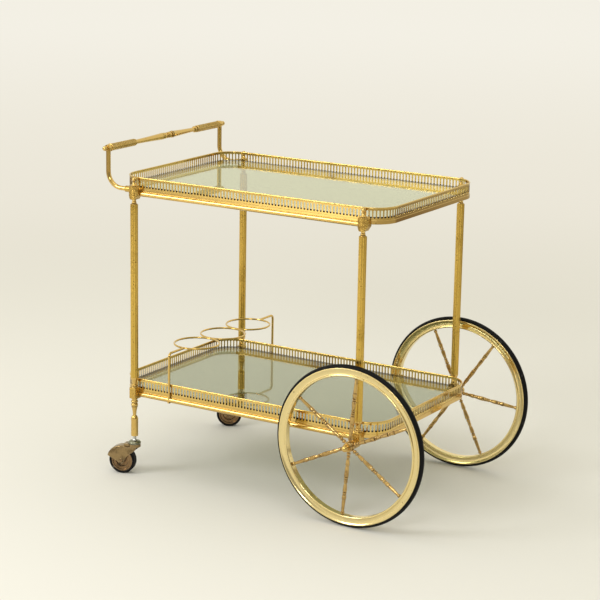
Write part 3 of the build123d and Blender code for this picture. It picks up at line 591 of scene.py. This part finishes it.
class Finish(Enum):
    """The finishes of this cart."""

    POLISHED = BrassFinish(
        "polished brass", fresh=(0.70, 0.47, 0.14), aged=(0.54, 0.34, 0.075), dirt=(0.11, 0.06, 0.018),
        bright=(0.86, 0.67, 0.30), roughness=(0.08, 0.17), patches=(14.0, 0.4), spots=(320.0, 0.06),
        grime=(0.003, 0.9), wear=0.5, lacquer=0.35, line_height=0.6 * MICRON)
    GALLERY = BrassFinish(
        "gallery brass", fresh=(0.72, 0.50, 0.15), aged=(0.58, 0.38, 0.09), dirt=(0.10, 0.055, 0.015),
        bright=(0.92, 0.74, 0.38), roughness=(0.11, 0.22), patches=(22.0, 0.45), spots=(360.0, 0.08),
        grime=(0.0022, 0.9), wear=0.8, lacquer=0.25, lay=(1.0, 1.0, 0.2), line_height=1 * MICRON)
    FLUTED = BrassFinish(
        "fluted brass", fresh=(0.64, 0.425, 0.088), aged=(0.50, 0.32, 0.058), dirt=(0.12, 0.07, 0.018),
        bright=(0.76, 0.56, 0.19), roughness=(0.22, 0.34), patches=(18.0, 0.45), spots=(330.0, 0.30),
        grime=(0.0018, 0.6), wear=0.5, lacquer=0.1, lay=(1.0, 1.0, 0.02))
    CAST = BrassFinish(
        "cast brass", fresh=(0.60, 0.39, 0.095), aged=(0.36, 0.215, 0.045), dirt=(0.08, 0.045, 0.012),
        bright=(0.86, 0.66, 0.28), roughness=(0.20, 0.38), patches=(70.0, 0.55), spots=(420.0, 0.35),
        grime=(0.0035, 1.0), wear=0.9, lacquer=0.1, cast_height=450 * MICRON)
    KNURLED = BrassFinish(
        "knurled brass", fresh=(0.66, 0.44, 0.13), aged=(0.50, 0.32, 0.08), dirt=(0.13, 0.085, 0.025),
        bright=(0.80, 0.62, 0.28), roughness=(0.30, 0.42), patches=(30.0, 0.5), spots=(300.0, 0.0),
        grime=(0.0009, 0.8), wear=0.5, lacquer=0.0, line_height=3 * MICRON)
    BEADED = BrassFinish(
        "beaded spoke brass", fresh=(0.56, 0.37, 0.13), aged=(0.24, 0.135, 0.045), dirt=(0.05, 0.026, 0.01),
        bright=(0.94, 0.78, 0.46), roughness=(0.08, 0.18), patches=(130.0, 0.55), spots=(520.0, 0.25),
        grime=(0.0022, 1.0), wear=0.6, lacquer=0.3, line_height=1 * MICRON)
    FORK = BrassFinish(
        "dull caster brass", fresh=(0.33, 0.23, 0.11), aged=(0.14, 0.095, 0.046), dirt=(0.06, 0.04, 0.02),
        bright=(0.85, 0.72, 0.50), roughness=(0.15, 0.30), patches=(70.0, 0.6), spots=(520.0, 0.22),
        grime=(0.004, 1.0), wear=1.0, lacquer=0.1, cast_height=20 * MICRON, cast_scale=700.0)
    DISC = BrassFinish(
        "browned brass", fresh=(0.27, 0.165, 0.08), aged=(0.09, 0.055, 0.028), dirt=(0.035, 0.023, 0.014),
        bright=(0.84, 0.68, 0.48), roughness=(0.16, 0.30), patches=(80.0, 0.55), spots=(520.0, 0.20),
        grime=(0.004, 1.0), wear=1.0, lacquer=0.1)
    RIM = BrassFinish(
        "pale rim brass", fresh=(0.82, 0.67, 0.33), aged=(0.73, 0.55, 0.225), dirt=(0.20, 0.13, 0.045),
        bright=(0.90, 0.78, 0.46), roughness=(0.17, 0.26), patches=(12.0, 0.3), spots=(260.0, 0.07),
        grime=(0.003, 0.6), wear=0.2, lacquer=0.2, lay=(1.0, 0.2, 1.0), line_height=1 * MICRON)
    TYRE = RubberFinish(name="black rubber", black=(0.003, 0.0031, 0.0033), bloom=(0.010, 0.010, 0.0102),
                        gloss=0.55, dust=0.10)
    CASTER_TYRE = RubberFinish(name="worn rubber", black=(0.004, 0.0036, 0.0032),
                               bloom=(0.016, 0.013, 0.010), gloss=0.56, dust=0.5)
    GLASS = GlassFinish(name="smoked glass", tint=(0.60, 0.64, 0.42))
    # A darker copy of the smoked glass: its deeper tint is painted shade, the shade that the upper tray casts
    # on the lower plate.
    LOWER_GLASS = GlassFinish(name="deeper smoked glass", tint=(0.37, 0.40, 0.28))
    ZINC = SteelFinish(name="zinc plated steel", plating=(0.60, 0.61, 0.58), dull=(0.42, 0.42, 0.39),
                       rust=(0.16, 0.10, 0.06), polish=0.30)
    CUP = SteelFinish(name="aged zinc cup", plating=(0.28, 0.28, 0.20), dull=(0.08, 0.085, 0.055),
                      rust=(0.07, 0.06, 0.035), polish=0.24)


@cache
def material_of(finish: Finish) -> Material:
    """Material of a finish, which is made only once."""
    return finish.value.make()


def dress(finish: Finish, *nodes: str) -> None:
    """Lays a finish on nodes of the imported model.

    Args:
        finish: Which finish.
        nodes: Names of the nodes.
    """
    for node in nodes:
        for place in frame["nodes"][node].material_slots:
            place.link = "OBJECT"
            place.material = material_of(finish)
        log.info("%s: %s", node, finish.value.name)


# Mesh builders


SAME_PLACE = 1e-7


def arc(centre: Point, radius: float, start: float, end: float, spans: int) -> list[Point]:
    """Points on an arc between two angles in degrees, both ends included."""
    angles = [math.radians(start + (end - start) * step / spans) for step in range(spans + 1)]
    return [(centre[0] + radius * math.cos(angle), centre[1] + radius * math.sin(angle)) for angle in angles]


def arc_through(first: Point, middle: Point, last: Point, spans: int) -> list[Point]:
    """Points on the arc through three points.

    Args:
        first: Where the arc starts.
        middle: A point that it passes.
        last: Where it ends.
        spans: Number of spans.

    Returns:
        The points, both ends included.
    """
    a, b, c = (complex(*point) for point in (first, middle, last))
    ratio = (c - a) / (b - a)
    centre = a + (b - a) * (ratio - abs(ratio)**2) / (2j * ratio.imag)
    start, sweep = (math.degrees(cmath.phase(z)) for z in (a - centre, (c - centre) / (a - centre)))
    turn = math.copysign(1, ratio.imag)
    return arc((centre.real, centre.imag), abs(a - centre), start, start + turn * (turn * sweep % 360), spans)


def knurling(turns: float, along: float) -> float:
    """Height of diamond knurling, from 0 in a groove to 1 on a point, at a place counted in diamonds."""
    return min(2 * abs(value % 1 - 0.5) for value in (turns + along, turns - along))


def mirrored(outline: Outline) -> list[Point]:
    """The same points in reverse order on the other side of the wheel's middle plane."""
    return [(radius, -along) for radius, along in reversed(outline)]


def placed(name: str, data: bpy.types.ID) -> Piece:
    """New object with its data, linked to the scene.

    Args:
        name: Name of the object.
        data: Its mesh, lamp or camera.

    Returns:
        The object.
    """
    piece = bpy.data.objects.new(name, data)
    bpy.context.scene.collection.objects.link(piece)
    return piece


def revolve(mesh: bmesh.types.BMesh, outlines: Sequence[Outline], place: Matrix) -> None:
    """Adds a ring or solid turned about an axis to a mesh.

    Args:
        mesh: The mesh.
        outlines: Closed outline of (radius, length along the axis) at each step round the axis, all
            with as many points.
        place: Matrix that puts the local Z axis in its place.
    """
    rings = []
    for step, outline in enumerate(outlines):
        turn = 2 * math.pi * step / len(outlines)
        rings.append([mesh.verts.new(place @ Vector((r * math.cos(turn), r * math.sin(turn), along)))
                      for r, along in outline])
    radii = [r for r, _ in outlines[0]]
    for here, after in zip(rings, rings[1:] + rings[:1]):
        for index, radius in enumerate(radii):
            following = (index + 1) % len(radii)
            if max(radius, radii[following]) > SAME_PLACE:
                mesh.faces.new((here[index], here[following], after[following], after[index]))
    bmesh.ops.dissolve_degenerate(mesh, edges=mesh.edges, dist=SAME_PLACE / 10)


def finished(name: str, mesh: bmesh.types.BMesh, sharp_angle: float = 32.0) -> Piece:
    """Turns a built mesh into a smooth-shaded object.

    Args:
        name: Name of the object.
        mesh: The mesh, which is freed.
        sharp_angle: Edges that bend more than this many degrees stay sharp.

    Returns:
        The object, linked to the scene.
    """
    bmesh.ops.remove_doubles(mesh, verts=mesh.verts, dist=SAME_PLACE)
    bmesh.ops.recalc_face_normals(mesh, faces=mesh.faces)
    for face in mesh.faces:
        face.smooth = True
    for edge in mesh.edges:
        edge.smooth = not (len(edge.link_faces) == 2 and edge.calc_face_angle() > math.radians(sharp_angle))
    data = bpy.data.meshes.new(name)
    mesh.to_mesh(data)
    mesh.free()
    return placed(name, data)


def turned(name: str, outlines: Sequence[Outline], place: Matrix,
           sharp_angle: float = 32.0) -> Piece:
    """Ring or solid turned about an axis.

    Args:
        name: Name of the object.
        outlines: Closed outline at each step round the axis.
        place: Matrix that puts the local Z axis in its place.
        sharp_angle: Edges that bend more than this many degrees stay sharp.

    Returns:
        The object, linked to the scene.
    """
    mesh = bmesh.new()
    revolve(mesh, outlines, place)
    return finished(name, mesh, sharp_angle)


def across(centre: Vector, side: Side) -> Matrix:
    """Matrix that puts the local origin at a centre and the local Z axis outwards along Y."""
    return Matrix.Translation(centre) @ Matrix.Rotation(math.radians(-90 * side.value), 4, "X")


def mounted(piece: Piece, body: str, finish: Finish) -> Piece:
    """Gives a piece its body and its finish.

    Args:
        piece: The piece.
        body: Body that it moves with.
        finish: Its finish.

    Returns:
        The same piece.
    """
    piece.data.materials.append(material_of(finish))
    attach(piece, body)
    log.info("%s rides on %s", piece.name, body)
    return piece


def joint_line(name: str) -> tuple[Vector, Vector]:
    """Point at rest and direction of the line about which a joint turns."""
    joint = next(joint for joint in frame["joints"] if joint["name"] == name)
    return Vector(joint["pos_m"]), Vector(joint["axis"]).normalized()


# Sub-assemblies


@dataclass
class Trays:
    """Mouldings, galleries and glass plates of both trays."""

    levels: tuple[str, str] = ("upper", "lower")

    def build(self) -> None:
        """Dresses both trays."""
        for level in self.levels:
            dress(Finish.POLISHED, f"{level}_moulding")
            dress(Finish.GALLERY, f"{level}_gallery")
        dress(Finish.GLASS, "upper_glass")
        # The lower plate's deeper tint is painted shade from the upper tray.
        dress(Finish.LOWER_GLASS, "lower_glass")
        dress(Finish.ZINC, "bracket_screws")


@dataclass
class Corners:
    """Posts with their turned ends, the brackets and the feet."""

    def build(self) -> None:
        """Dresses the four corners."""
        dress(Finish.POLISHED, "finials", "post_necks", "post_collars")
        dress(Finish.ZINC, "tie_rods")
        for side in Side:
            for end in End:
                corner = f"{end.value}_{side.word}"
                dress(Finish.FLUTED, f"post_{corner}")
                dress(Finish.CAST, f"upper_bracket_{corner}", f"lower_bracket_{corner}")
            dress(Finish.POLISHED, f"foot_{side.word}")


@dataclass
class Axle:
    """Bar under the lower tray, with its washers and caps."""

    def build(self) -> None:
        """Dresses the axle."""
        dress(Finish.ZINC, "axle", "axle_washers")
        dress(Finish.POLISHED, "axle_caps")


@dataclass
class Handle:
    """Push handle: two arms, two knurled grips and a turned middle bar."""

    ridge_pitch: float = 1.6 * MM
    ridge_depth: float = 0.42 * MM
    ridge_spans: int = 4
    flange_length: float = 3.0 * MM
    flange_rise: float = 0.6 * MM
    end_edge: float = 0.6 * MM
    plain_band: float = 1.2 * MM
    bore_radius: float = 2.5 * MM
    sharp_angle: float = 25.0

    def grip(self, side: Side) -> Piece:
        """Knurled sleeve with a flange at its outer end.

        Args:
            side: Which grip.

        Returns:
            The grip.
        """
        low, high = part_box(f"handle_grip_{side.word}")
        centre = (low + high) / 2
        centre.y = low.y if side is Side.LEFT else high.y
        length = high.y - low.y
        flange_radius = (high.z - low.z) / 2
        radius = flange_radius - self.flange_rise
        steps = self.ridge_spans * round(2 * math.pi * radius / self.ridge_pitch)
        span = length - self.flange_length - 2 * self.plain_band
        rows = self.ridge_spans * round(span / self.ridge_pitch)
        plain = radius - self.ridge_depth / 2
        flange_start = length - self.flange_length
        crest = self.flange_length / 2
        start = [(self.bore_radius, 0.0), (plain - self.end_edge, 0.0), (plain, self.end_edge),
                 (plain, self.plain_band)]
        end = [(plain, self.plain_band + span), (plain, flange_start),
               *arc((flange_radius - crest, flange_start + crest), crest, -90, 90, spans=8),
               (self.bore_radius, length)]
        outlines = []
        for step in range(steps):
            rises = [knurling(step / self.ridge_spans, row / self.ridge_spans) for row in range(rows + 1)]
            ridges = [(radius - self.ridge_depth * (1 - rise), self.plain_band + span * row / rows)
                      for row, rise in enumerate(rises)]
            outlines.append(start + ridges + end)
        return turned(f"handle_knurled_grip_{side.word}", outlines, across(centre, side), self.sharp_angle)

    def build(self) -> None:
        """Builds and dresses the handle."""
        dress(Finish.POLISHED, "handle_bar", "handle_knobs")
        dress(Finish.ZINC, "handle_rod")
        for side in Side:
            dress(Finish.POLISHED, f"handle_arm_{side.word}")
            grip = mounted(self.grip(side), "frame", Finish.KNURLED)
            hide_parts(f"handle_grip_{side.word}")


@dataclass
class BottleHolder:
    """Wire rings over the lower tray, with the brazed joints between them."""

    names: tuple[str, str, str] = ("right", "middle", "left")
    joint_length: float = 5.0 * MM
    joint_radius: float = 2.5 * MM
    joint_rounding: float = 0.35
    joint_spans: int = 14

    def brazed_joint(self, name: str, y: float) -> Piece:
        """Small pillow of braze where two wires touch.

        Args:
            name: Name of the piece.
            y: Where the wires touch.

        Returns:
            The joint.
        """
        low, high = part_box("holder_ring_middle")
        centre = Vector(((low.x + high.x) / 2, y, (low.z + high.z) / 2))
        place = Matrix.Translation(centre) @ Matrix.Rotation(math.radians(90), 4, "Y")
        steps = 24
        shares = [2 * step / self.joint_spans - 1 for step in range(self.joint_spans + 1)]
        outline = [(self.joint_radius * (1 - share**2) ** self.joint_rounding, self.joint_length / 2 * share)
                   for share in shares]
        return turned(name, [outline] * steps, place)

    def build(self) -> None:
        """Builds and dresses the holder."""
        rings = [f"holder_ring_{name}" for name in self.names]
        dress(Finish.POLISHED, *rings, "holder_wire_right", "holder_wire_left", "holder_nuts")
        edges = [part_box(ring)[0].y for ring in rings] + [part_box(rings[-1])[1].y]
        for index, y in enumerate(edges, start=1):
            joint = self.brazed_joint(f"holder_joint_{index}", y)
            mounted(joint, "frame", Finish.POLISHED)


@dataclass
class LargeWheel:
    """One of the two spoked wheels.

    A turning of a spoke is its length, its first and last radius and how far it swells between
    them, in millimetres, from the hub outwards.
    """

    side: Side
    steps: int = 240
    tyre_width: float = 12.0 * MM
    tyre_height: float = 5.9 * MM
    root_rise: float = 0.3 * MM
    seat_depth: float = 2.9 * MM
    seat_width: float = 9.9 * MM
    crown_radius: float = 6.8 * MM
    crown_inset: float = 0.4 * MM
    seam_drop: float = 1.1 * MM
    seam_height: float = 0.15 * MM
    rib_depth: float = 0.22 * MM
    rib_narrowing: float = 0.985
    rim_depth: float = 16.6 * MM
    bead_depth: float = 4.6 * MM
    cove_depth: float = 2.5 * MM
    cove_sag: float = 1.0 * MM
    lip_width: float = 2.0 * MM
    lip_edge: float = 0.7 * MM
    well_depth: float = 3.0 * MM
    well_gap: float = 0.2 * MM
    spoke_count: int = 6
    spoke_steps: int = 20
    spoke_start: float = 10.4 * MM
    spoke_reach: float = 0.9 * MM
    spoke_girth: float = 1.1
    swell_spans: int = 6
    turnings: tuple[tuple[float, float, float, float], ...] = (
        (1.6, 1.9, 1.9, 0.0), (5.2, 2.3, 2.3, 1.3), (1.2, 1.8, 1.8, 0.0), (4.6, 2.2, 2.2, 1.2),
        (1.0, 1.9, 1.9, 0.0), (13.5, 2.4, 3.7, 0.3), (1.2, 2.2, 2.2, 0.0), (21.0, 2.8, 4.0, 0.3),
        (1.0, 2.0, 2.0, 0.0), (5.0, 2.2, 2.2, 1.5), (4.0, 2.0, 2.0, 1.4), (4.0, 2.0, 2.0, 1.4),
        (1.4, 1.9, 1.9, 0.0), (15.0, 2.6, 3.7, 0.3), (1.2, 2.0, 2.0, 0.0), (5.0, 2.2, 2.2, 1.4),
        (9.0, 2.9, 3.9, 0.3), (1.2, 2.0, 2.0, 0.0), (23.65, 3.2, 2.3, 0.2), (4.6, 2.1, 2.1, 1.3),
        (1.2, 1.8, 1.8, 0.0))

    @property
    def first_spoke(self) -> float:
        """Angle of the first spoke in the wheel's own frame, in degrees."""
        return 25.0 if self.side is Side.RIGHT else 5.0

    @property
    def body(self) -> str:
        """Body that the wheel moves with."""
        return f"wheel_{self.side.word}"

    @property
    def place(self) -> Matrix:
        """Matrix of the wheel's own frame, with its axle along Z."""
        return across(joint_line(f"{self.body}_spin")[0], self.side)

    @property
    def radius(self) -> float:
        """Outer radius of the tyre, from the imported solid."""
        low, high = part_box(f"{self.body}_tyre")
        return (high.z - low.z) / 2

    def tyre(self) -> Piece:
        """Solid tyre with a finely ribbed, crowned tread and a mould seam on each shoulder.

        Returns:
            The tyre.
        """
        root = self.radius - self.tyre_height
        half = self.tyre_width / 2
        seat = self.seat_width / 2
        middle = self.radius - self.crown_radius
        reach = math.degrees(math.asin((half - self.crown_inset) / self.crown_radius))
        seam = middle + self.crown_radius * math.cos(math.radians(reach)) - self.seam_drop
        upper = [(root - self.seat_depth, seat), (root, seat), (root + self.root_rise, half),
                 (seam - self.seam_height, half), (seam, half - self.seam_height),
                 (seam + self.seam_height, half)]
        crest = arc((middle, 0), self.crown_radius, reach, -reach, spans=16)
        groove = [(radius - self.rib_depth, along * self.rib_narrowing) for radius, along in crest]
        outlines = [upper + tread + mirrored(upper) for tread in (crest, groove)]
        return turned(f"{self.body}_round_tyre", outlines * self.steps, self.place)

    def rim(self) -> Piece:
        """Rolled rim with an inner bead, a shallow cove and a rounded lip.

        Returns:
            The rim.
        """
        low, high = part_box(f"{self.body}_rim")
        half = (high.y - low.y) / 2
        outer = self.radius - self.tyre_height
        inner = outer - self.rim_depth
        bead_end = inner + self.bead_depth
        lip = outer - self.lip_width
        floor = half - self.cove_depth
        cove = ((bead_end + lip) / 2, (floor + half) / 2 - self.cove_sag)
        well = self.seat_width / 2 + self.well_gap
        bead = ((inner, floor), (inner + self.bead_depth / 2, half), (bead_end, floor))
        upper = arc_through(*bead, spans=14)
        upper += arc_through((bead_end, floor), cove, (lip, half), spans=10)[1:]
        upper += arc((outer - self.lip_edge, half - self.lip_edge), self.lip_edge, 90, 0, spans=5)
        upper += [(outer, well), (outer - self.well_depth, well)]
        return turned(f"{self.body}_rolled_rim", [upper + mirrored(upper)] * self.steps, self.place)

    def spokes(self) -> Piece:
        """Six turned spokes, with beads between deep grooves.

        Returns:
            The spokes, as one object.
        """
        outline = [(0.0, self.spoke_start - self.spoke_reach)]
        along = self.spoke_start
        for length, first, last, swell in self.turnings:
            spans = self.swell_spans if swell else 1
            for step in range(spans + 1):
                share = step / spans
                radius = first + (last - first) * share + swell * math.sqrt(4 * share * (1 - share))
                outline.append((radius * self.spoke_girth * MM, along + length * share * MM))
            along += length * MM
        outline.append((0.0, along + self.spoke_reach))
        mesh = bmesh.new()
        for index in range(self.spoke_count):
            angle = math.radians(self.first_spoke + 360 * index / self.spoke_count)
            turn = self.place @ Matrix.Rotation(angle, 4, "Z") @ Matrix.Rotation(math.radians(90), 4, "Y")
            revolve(mesh, [outline] * self.spoke_steps, turn)
        return finished(f"{self.body}_turned_spokes", mesh)

    def build(self) -> None:
        """Builds and dresses the wheel."""
        dress(Finish.BEADED, f"{self.body}_hub")
        spokes = mounted(self.spokes(), self.body, Finish.BEADED)
        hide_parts(f"{self.body}_spokes")
        tyre = mounted(self.tyre(), self.body, Finish.TYRE)
        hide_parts(f"{self.body}_tyre")
        rim = mounted(self.rim(), self.body, Finish.RIM)
        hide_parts(f"{self.body}_rim")


@dataclass
class Caster:
    """Swivel caster under one of the feet."""

    side: Side
    boss_radius: float = 5.4 * MM
    boss_inner_radius: float = 3.9 * MM
    boss_height: float = 0.5 * MM
    boss_root: float = 0.2 * MM
    cheek_reach: float = 10.8 * MM

    def cheek_boss(self, outwards: Side) -> Piece:
        """Pressed ring round the pin on one cheek of the fork.

        Args:
            outwards: Which cheek.

        Returns:
            The ring.
        """
        axle, axis = joint_line(f"caster_{self.side.word}_roll")
        facing = axis * outwards.value
        turn = facing.to_track_quat("Z", "X").to_matrix().to_4x4()
        place = Matrix.Translation(axle + facing * self.cheek_reach) @ turn
        steps = 48
        middle = (self.boss_radius + self.boss_inner_radius) / 2
        swell = (self.boss_radius - self.boss_inner_radius) / 2
        outline = [(middle + swell * x, self.boss_height * y)
                   for x, y in arc((0, 0), 1, 0, 180, spans=12)]
        outline += [(self.boss_inner_radius, -self.boss_root), (self.boss_radius, -self.boss_root)]
        return turned(f"caster_{self.side.word}_boss_{outwards.word}", [outline] * steps, place)

    def build(self) -> None:
        """Builds and dresses the caster."""
        body = f"caster_{self.side.word}"
        dress(Finish.FORK, f"{body}_fork")
        dress(Finish.DISC, f"{body}_disc", f"{body}_pin")
        dress(Finish.CASTER_TYRE, f"{body}_tyre")
        for outwards in Side:
            mounted(self.cheek_boss(outwards), body, Finish.FORK)


# Stage and camera


@dataclass(frozen=True)
class Patch:
    """Round part of the surround or the floor that is darker or brighter than the rest.

    Its middle is a direction, or a point of the floor. The light changes from the edge to the core,
    which are cosines, or distances from the middle. On the floor, a patch is painted light or shade
    that only reflections see.
    """

    middle: Point3
    edge: float
    core: float
    light: float


@dataclass(frozen=True)
class Lamp:
    """One soft lamp, with its width and height and its power in watts."""

    name: str
    place: Point3
    aim: Point3
    size: Point
    power: float

    def build(self) -> None:
        """Hangs the lamp."""
        data = bpy.data.lights.new(self.name, "AREA")
        data.shape = "RECTANGLE"
        data.size, data.size_y = self.size
        data.energy = self.power
        lamp = placed(self.name, data)
        lamp.location = self.place
        lamp.rotation_euler = (Vector(self.aim) - Vector(self.place)).to_track_quat("-Z", "Y").to_euler()


@dataclass
class Studio:
    """Plain pale floor, soft lamps and a pale surround.

    Metal mirrors the floor with its painted pools of light and shade, and the surround with its
    zones. The camera sees neither: to it, the floor fades into a pale backdrop.
    """

    floor_size: float = 30.0
    floor_colour: Colour = (0.80, 0.79, 0.76)
    floor_roughness: float = 0.9
    # Colour of the painted shade in the darker pools, which only reflections see.
    dim_floor: Colour = (0.12, 0.06, 0.03)
    near_backdrop: Colour = (0.83, 0.79, 0.68)
    far_backdrop: Colour = (0.90, 0.87, 0.78)
    fade: Point = (1.1, 3.2)
    far_fade: Point = (2.0, 9.0)
    surround_colour: Colour = (0.90, 0.87, 0.74)
    surround_light: float = 1.02
    zones: tuple[Patch, ...] = (
        Patch(middle=(0.94, -0.34, 0.0), edge=0.5, core=0.95, light=0.35),
        Patch(middle=(0.25, -0.97, 0.0), edge=0.78, core=0.95, light=0.40),
    )
    # Painted pools of light and shade on the floor, which only reflections see; the brightest one glows.
    pools: tuple[Patch, ...] = (
        Patch(middle=(0.0, 0.0, 0.0), edge=2.0, core=3.0, light=0.60),
        Patch(middle=(1.5, 1.9, 0.0), edge=1.1, core=0.5, light=0.22),
        Patch(middle=(-0.35, -3.0, 0.0), edge=0.80, core=0.40, light=0.15),
        Patch(middle=(-1.30, -2.20, 0.0), edge=0.85, core=0.35, light=2.9),
    )
    lamps: tuple[Lamp, ...] = (
        Lamp("overhead_softbox", place=(-0.4, -0.6, 3.2), aim=(0.0, 0.0, 0.3), size=(2.6, 1.4), power=9.0),
        Lamp("window_softbox", place=(-1.75, -2.40, 2.05), aim=(0.0, 0.0, 0.4), size=(1.1, 0.80), power=30.0),
        Lamp("camera_softbox", place=(1.00, -3.30, 1.90), aim=(0.1, 0.0, 0.3), size=(1.0, 0.5), power=19.0),
    )

    def _patched(self, graph: Graph, light: float, patches: Sequence[Patch], place: Socket,
                 measure: str) -> Socket:
        """Light with its darker and brighter patches.

        Args:
            graph: Graph of the floor or the surround.
            light: Light of the rest.
            patches: The patches.
            place: Point or direction that is shaded.
            measure: Operation that compares it with the middle of a patch.

        Returns:
            The light.
        """
        for patch in patches:
            reading = graph.compare(measure, place, patch.middle)
            light = graph.blend(graph.smooth(reading, patch.edge, patch.core), light, patch.light)
        return light

    def floor(self) -> None:
        """Lays the floor, which fades into the backdrop, with painted pools of light and shade and a painted
        glow that only reflections see.
        """
        mesh = bmesh.new()
        bmesh.ops.create_grid(mesh, x_segments=1, y_segments=1, size=self.floor_size / 2)
        data = bpy.data.meshes.new("studio_floor")
        mesh.to_mesh(data)
        mesh.free()
        floor = placed("studio_floor", data)
        material, graph, surface = shader("studio floor")
        path = graph.add("ShaderNodeLightPath").outputs
        seen = graph.math("MAXIMUM", path["Is Camera Ray"], path["Is Transmission Ray"])
        place = graph.place()
        reach = graph.compare("DISTANCE", place, (0.0, 0.0, 0.0))
        backdrop = graph.times(graph.smooth(reach, *self.fade), seen)
        # Painted pools of light and shade, seen only by glossy rays.
        light = self._patched(graph, 1.0, self.pools, place, "DISTANCE")
        light = graph.blend(path["Is Glossy Ray"], 1.0, light)
        # Darker pools are painted shade in the floor's colour.
        lit = graph.mix(graph.math("MINIMUM", light, 1.0), self.dim_floor, self.floor_colour)
        # Brighter pools glow: painted light, though the floor is no lamp.
        painted_glow = graph.math("MAXIMUM", graph.math("SUBTRACT", light, 1.0), 0.0)
        graph.put(surface["Base Color"], graph.mix(backdrop, lit, BLACK))
        graph.put(surface["Emission Color"],
                  graph.mix(graph.smooth(reach, *self.far_fade), self.near_backdrop, self.far_backdrop))
        graph.put(surface["Emission Strength"], graph.math("ADD", painted_glow, backdrop))
        graph.put(surface["Roughness"], self.floor_roughness)
        graph.put(surface["Specular IOR Level"], 0.0)
        data.materials.append(material)

    def surround(self) -> None:
        """Sets the light that comes from all round: pale, with two darker zones."""
        world = bpy.data.worlds.new("studio surround")
        world.use_nodes = True
        bpy.context.scene.world = world
        graph = Graph(world.node_tree)
        background = world.node_tree.nodes["Background"].inputs
        direction = graph.add("ShaderNodeTexCoord").outputs["Generated"]
        light = self._patched(graph, self.surround_light, self.zones, direction, "DOT_PRODUCT")
        seen = graph.add("ShaderNodeLightPath").outputs["Is Camera Ray"]
        graph.put(background["Color"], graph.mix(seen, self.surround_colour, self.far_backdrop))
        graph.put(background["Strength"], graph.blend(seen, light, 1.0))

    def build(self) -> None:
        """Sets up the whole studio."""
        self.floor()
        self.surround()
        for lamp in self.lamps:
            lamp.build()


@dataclass(frozen=True)
class Viewpoint:
    """Camera at the viewpoint of the photograph, with its angles in radians."""

    place: Point3 = (1.97993, -3.31396, 1.30756)
    yaw: float = -0.5464
    pitch: float = 0.2392
    roll: float = 0.0181
    focal_pixels: float = 1989.7
    image_width: int = 600
    sensor: float = 36.0
    sight: float = 60.0

    def build(self) -> None:
        """Creates the camera and makes it the scene's own."""
        data = bpy.data.cameras.new("photo_camera")
        data.sensor_width = self.sensor
        data.lens = self.focal_pixels * self.sensor / self.image_width
        data.clip_end = self.sight
        camera = placed("photo_camera", data)
        turn = Matrix.Rotation(-self.yaw, 4, "Z") @ Matrix.Rotation(math.pi / 2 - self.pitch, 4, "X")
        camera.matrix_world = Matrix.Translation(self.place) @ turn @ Matrix.Rotation(self.roll, 4, "Z")
        bpy.context.scene.camera = camera


def main() -> None:
    """Builds the studio, the camera and every sub-assembly in order."""
    logging.basicConfig(level=logging.INFO, format="%(name)s: %(message)s")
    bpy.context.scene.view_settings.view_transform = "Standard"
    Viewpoint().build()
    Studio().build()
    dress(Finish.ZINC, "caster_stems")
    dress(Finish.CUP, "caster_cups")
    parts = [Trays(), Corners(), Axle(), Handle(), BottleHolder()]
    parts += [LargeWheel(side) for side in Side]
    parts += [Caster(side) for side in Side]
    for part in parts:
        part.build()


if __name__ == "__main__":
    main()
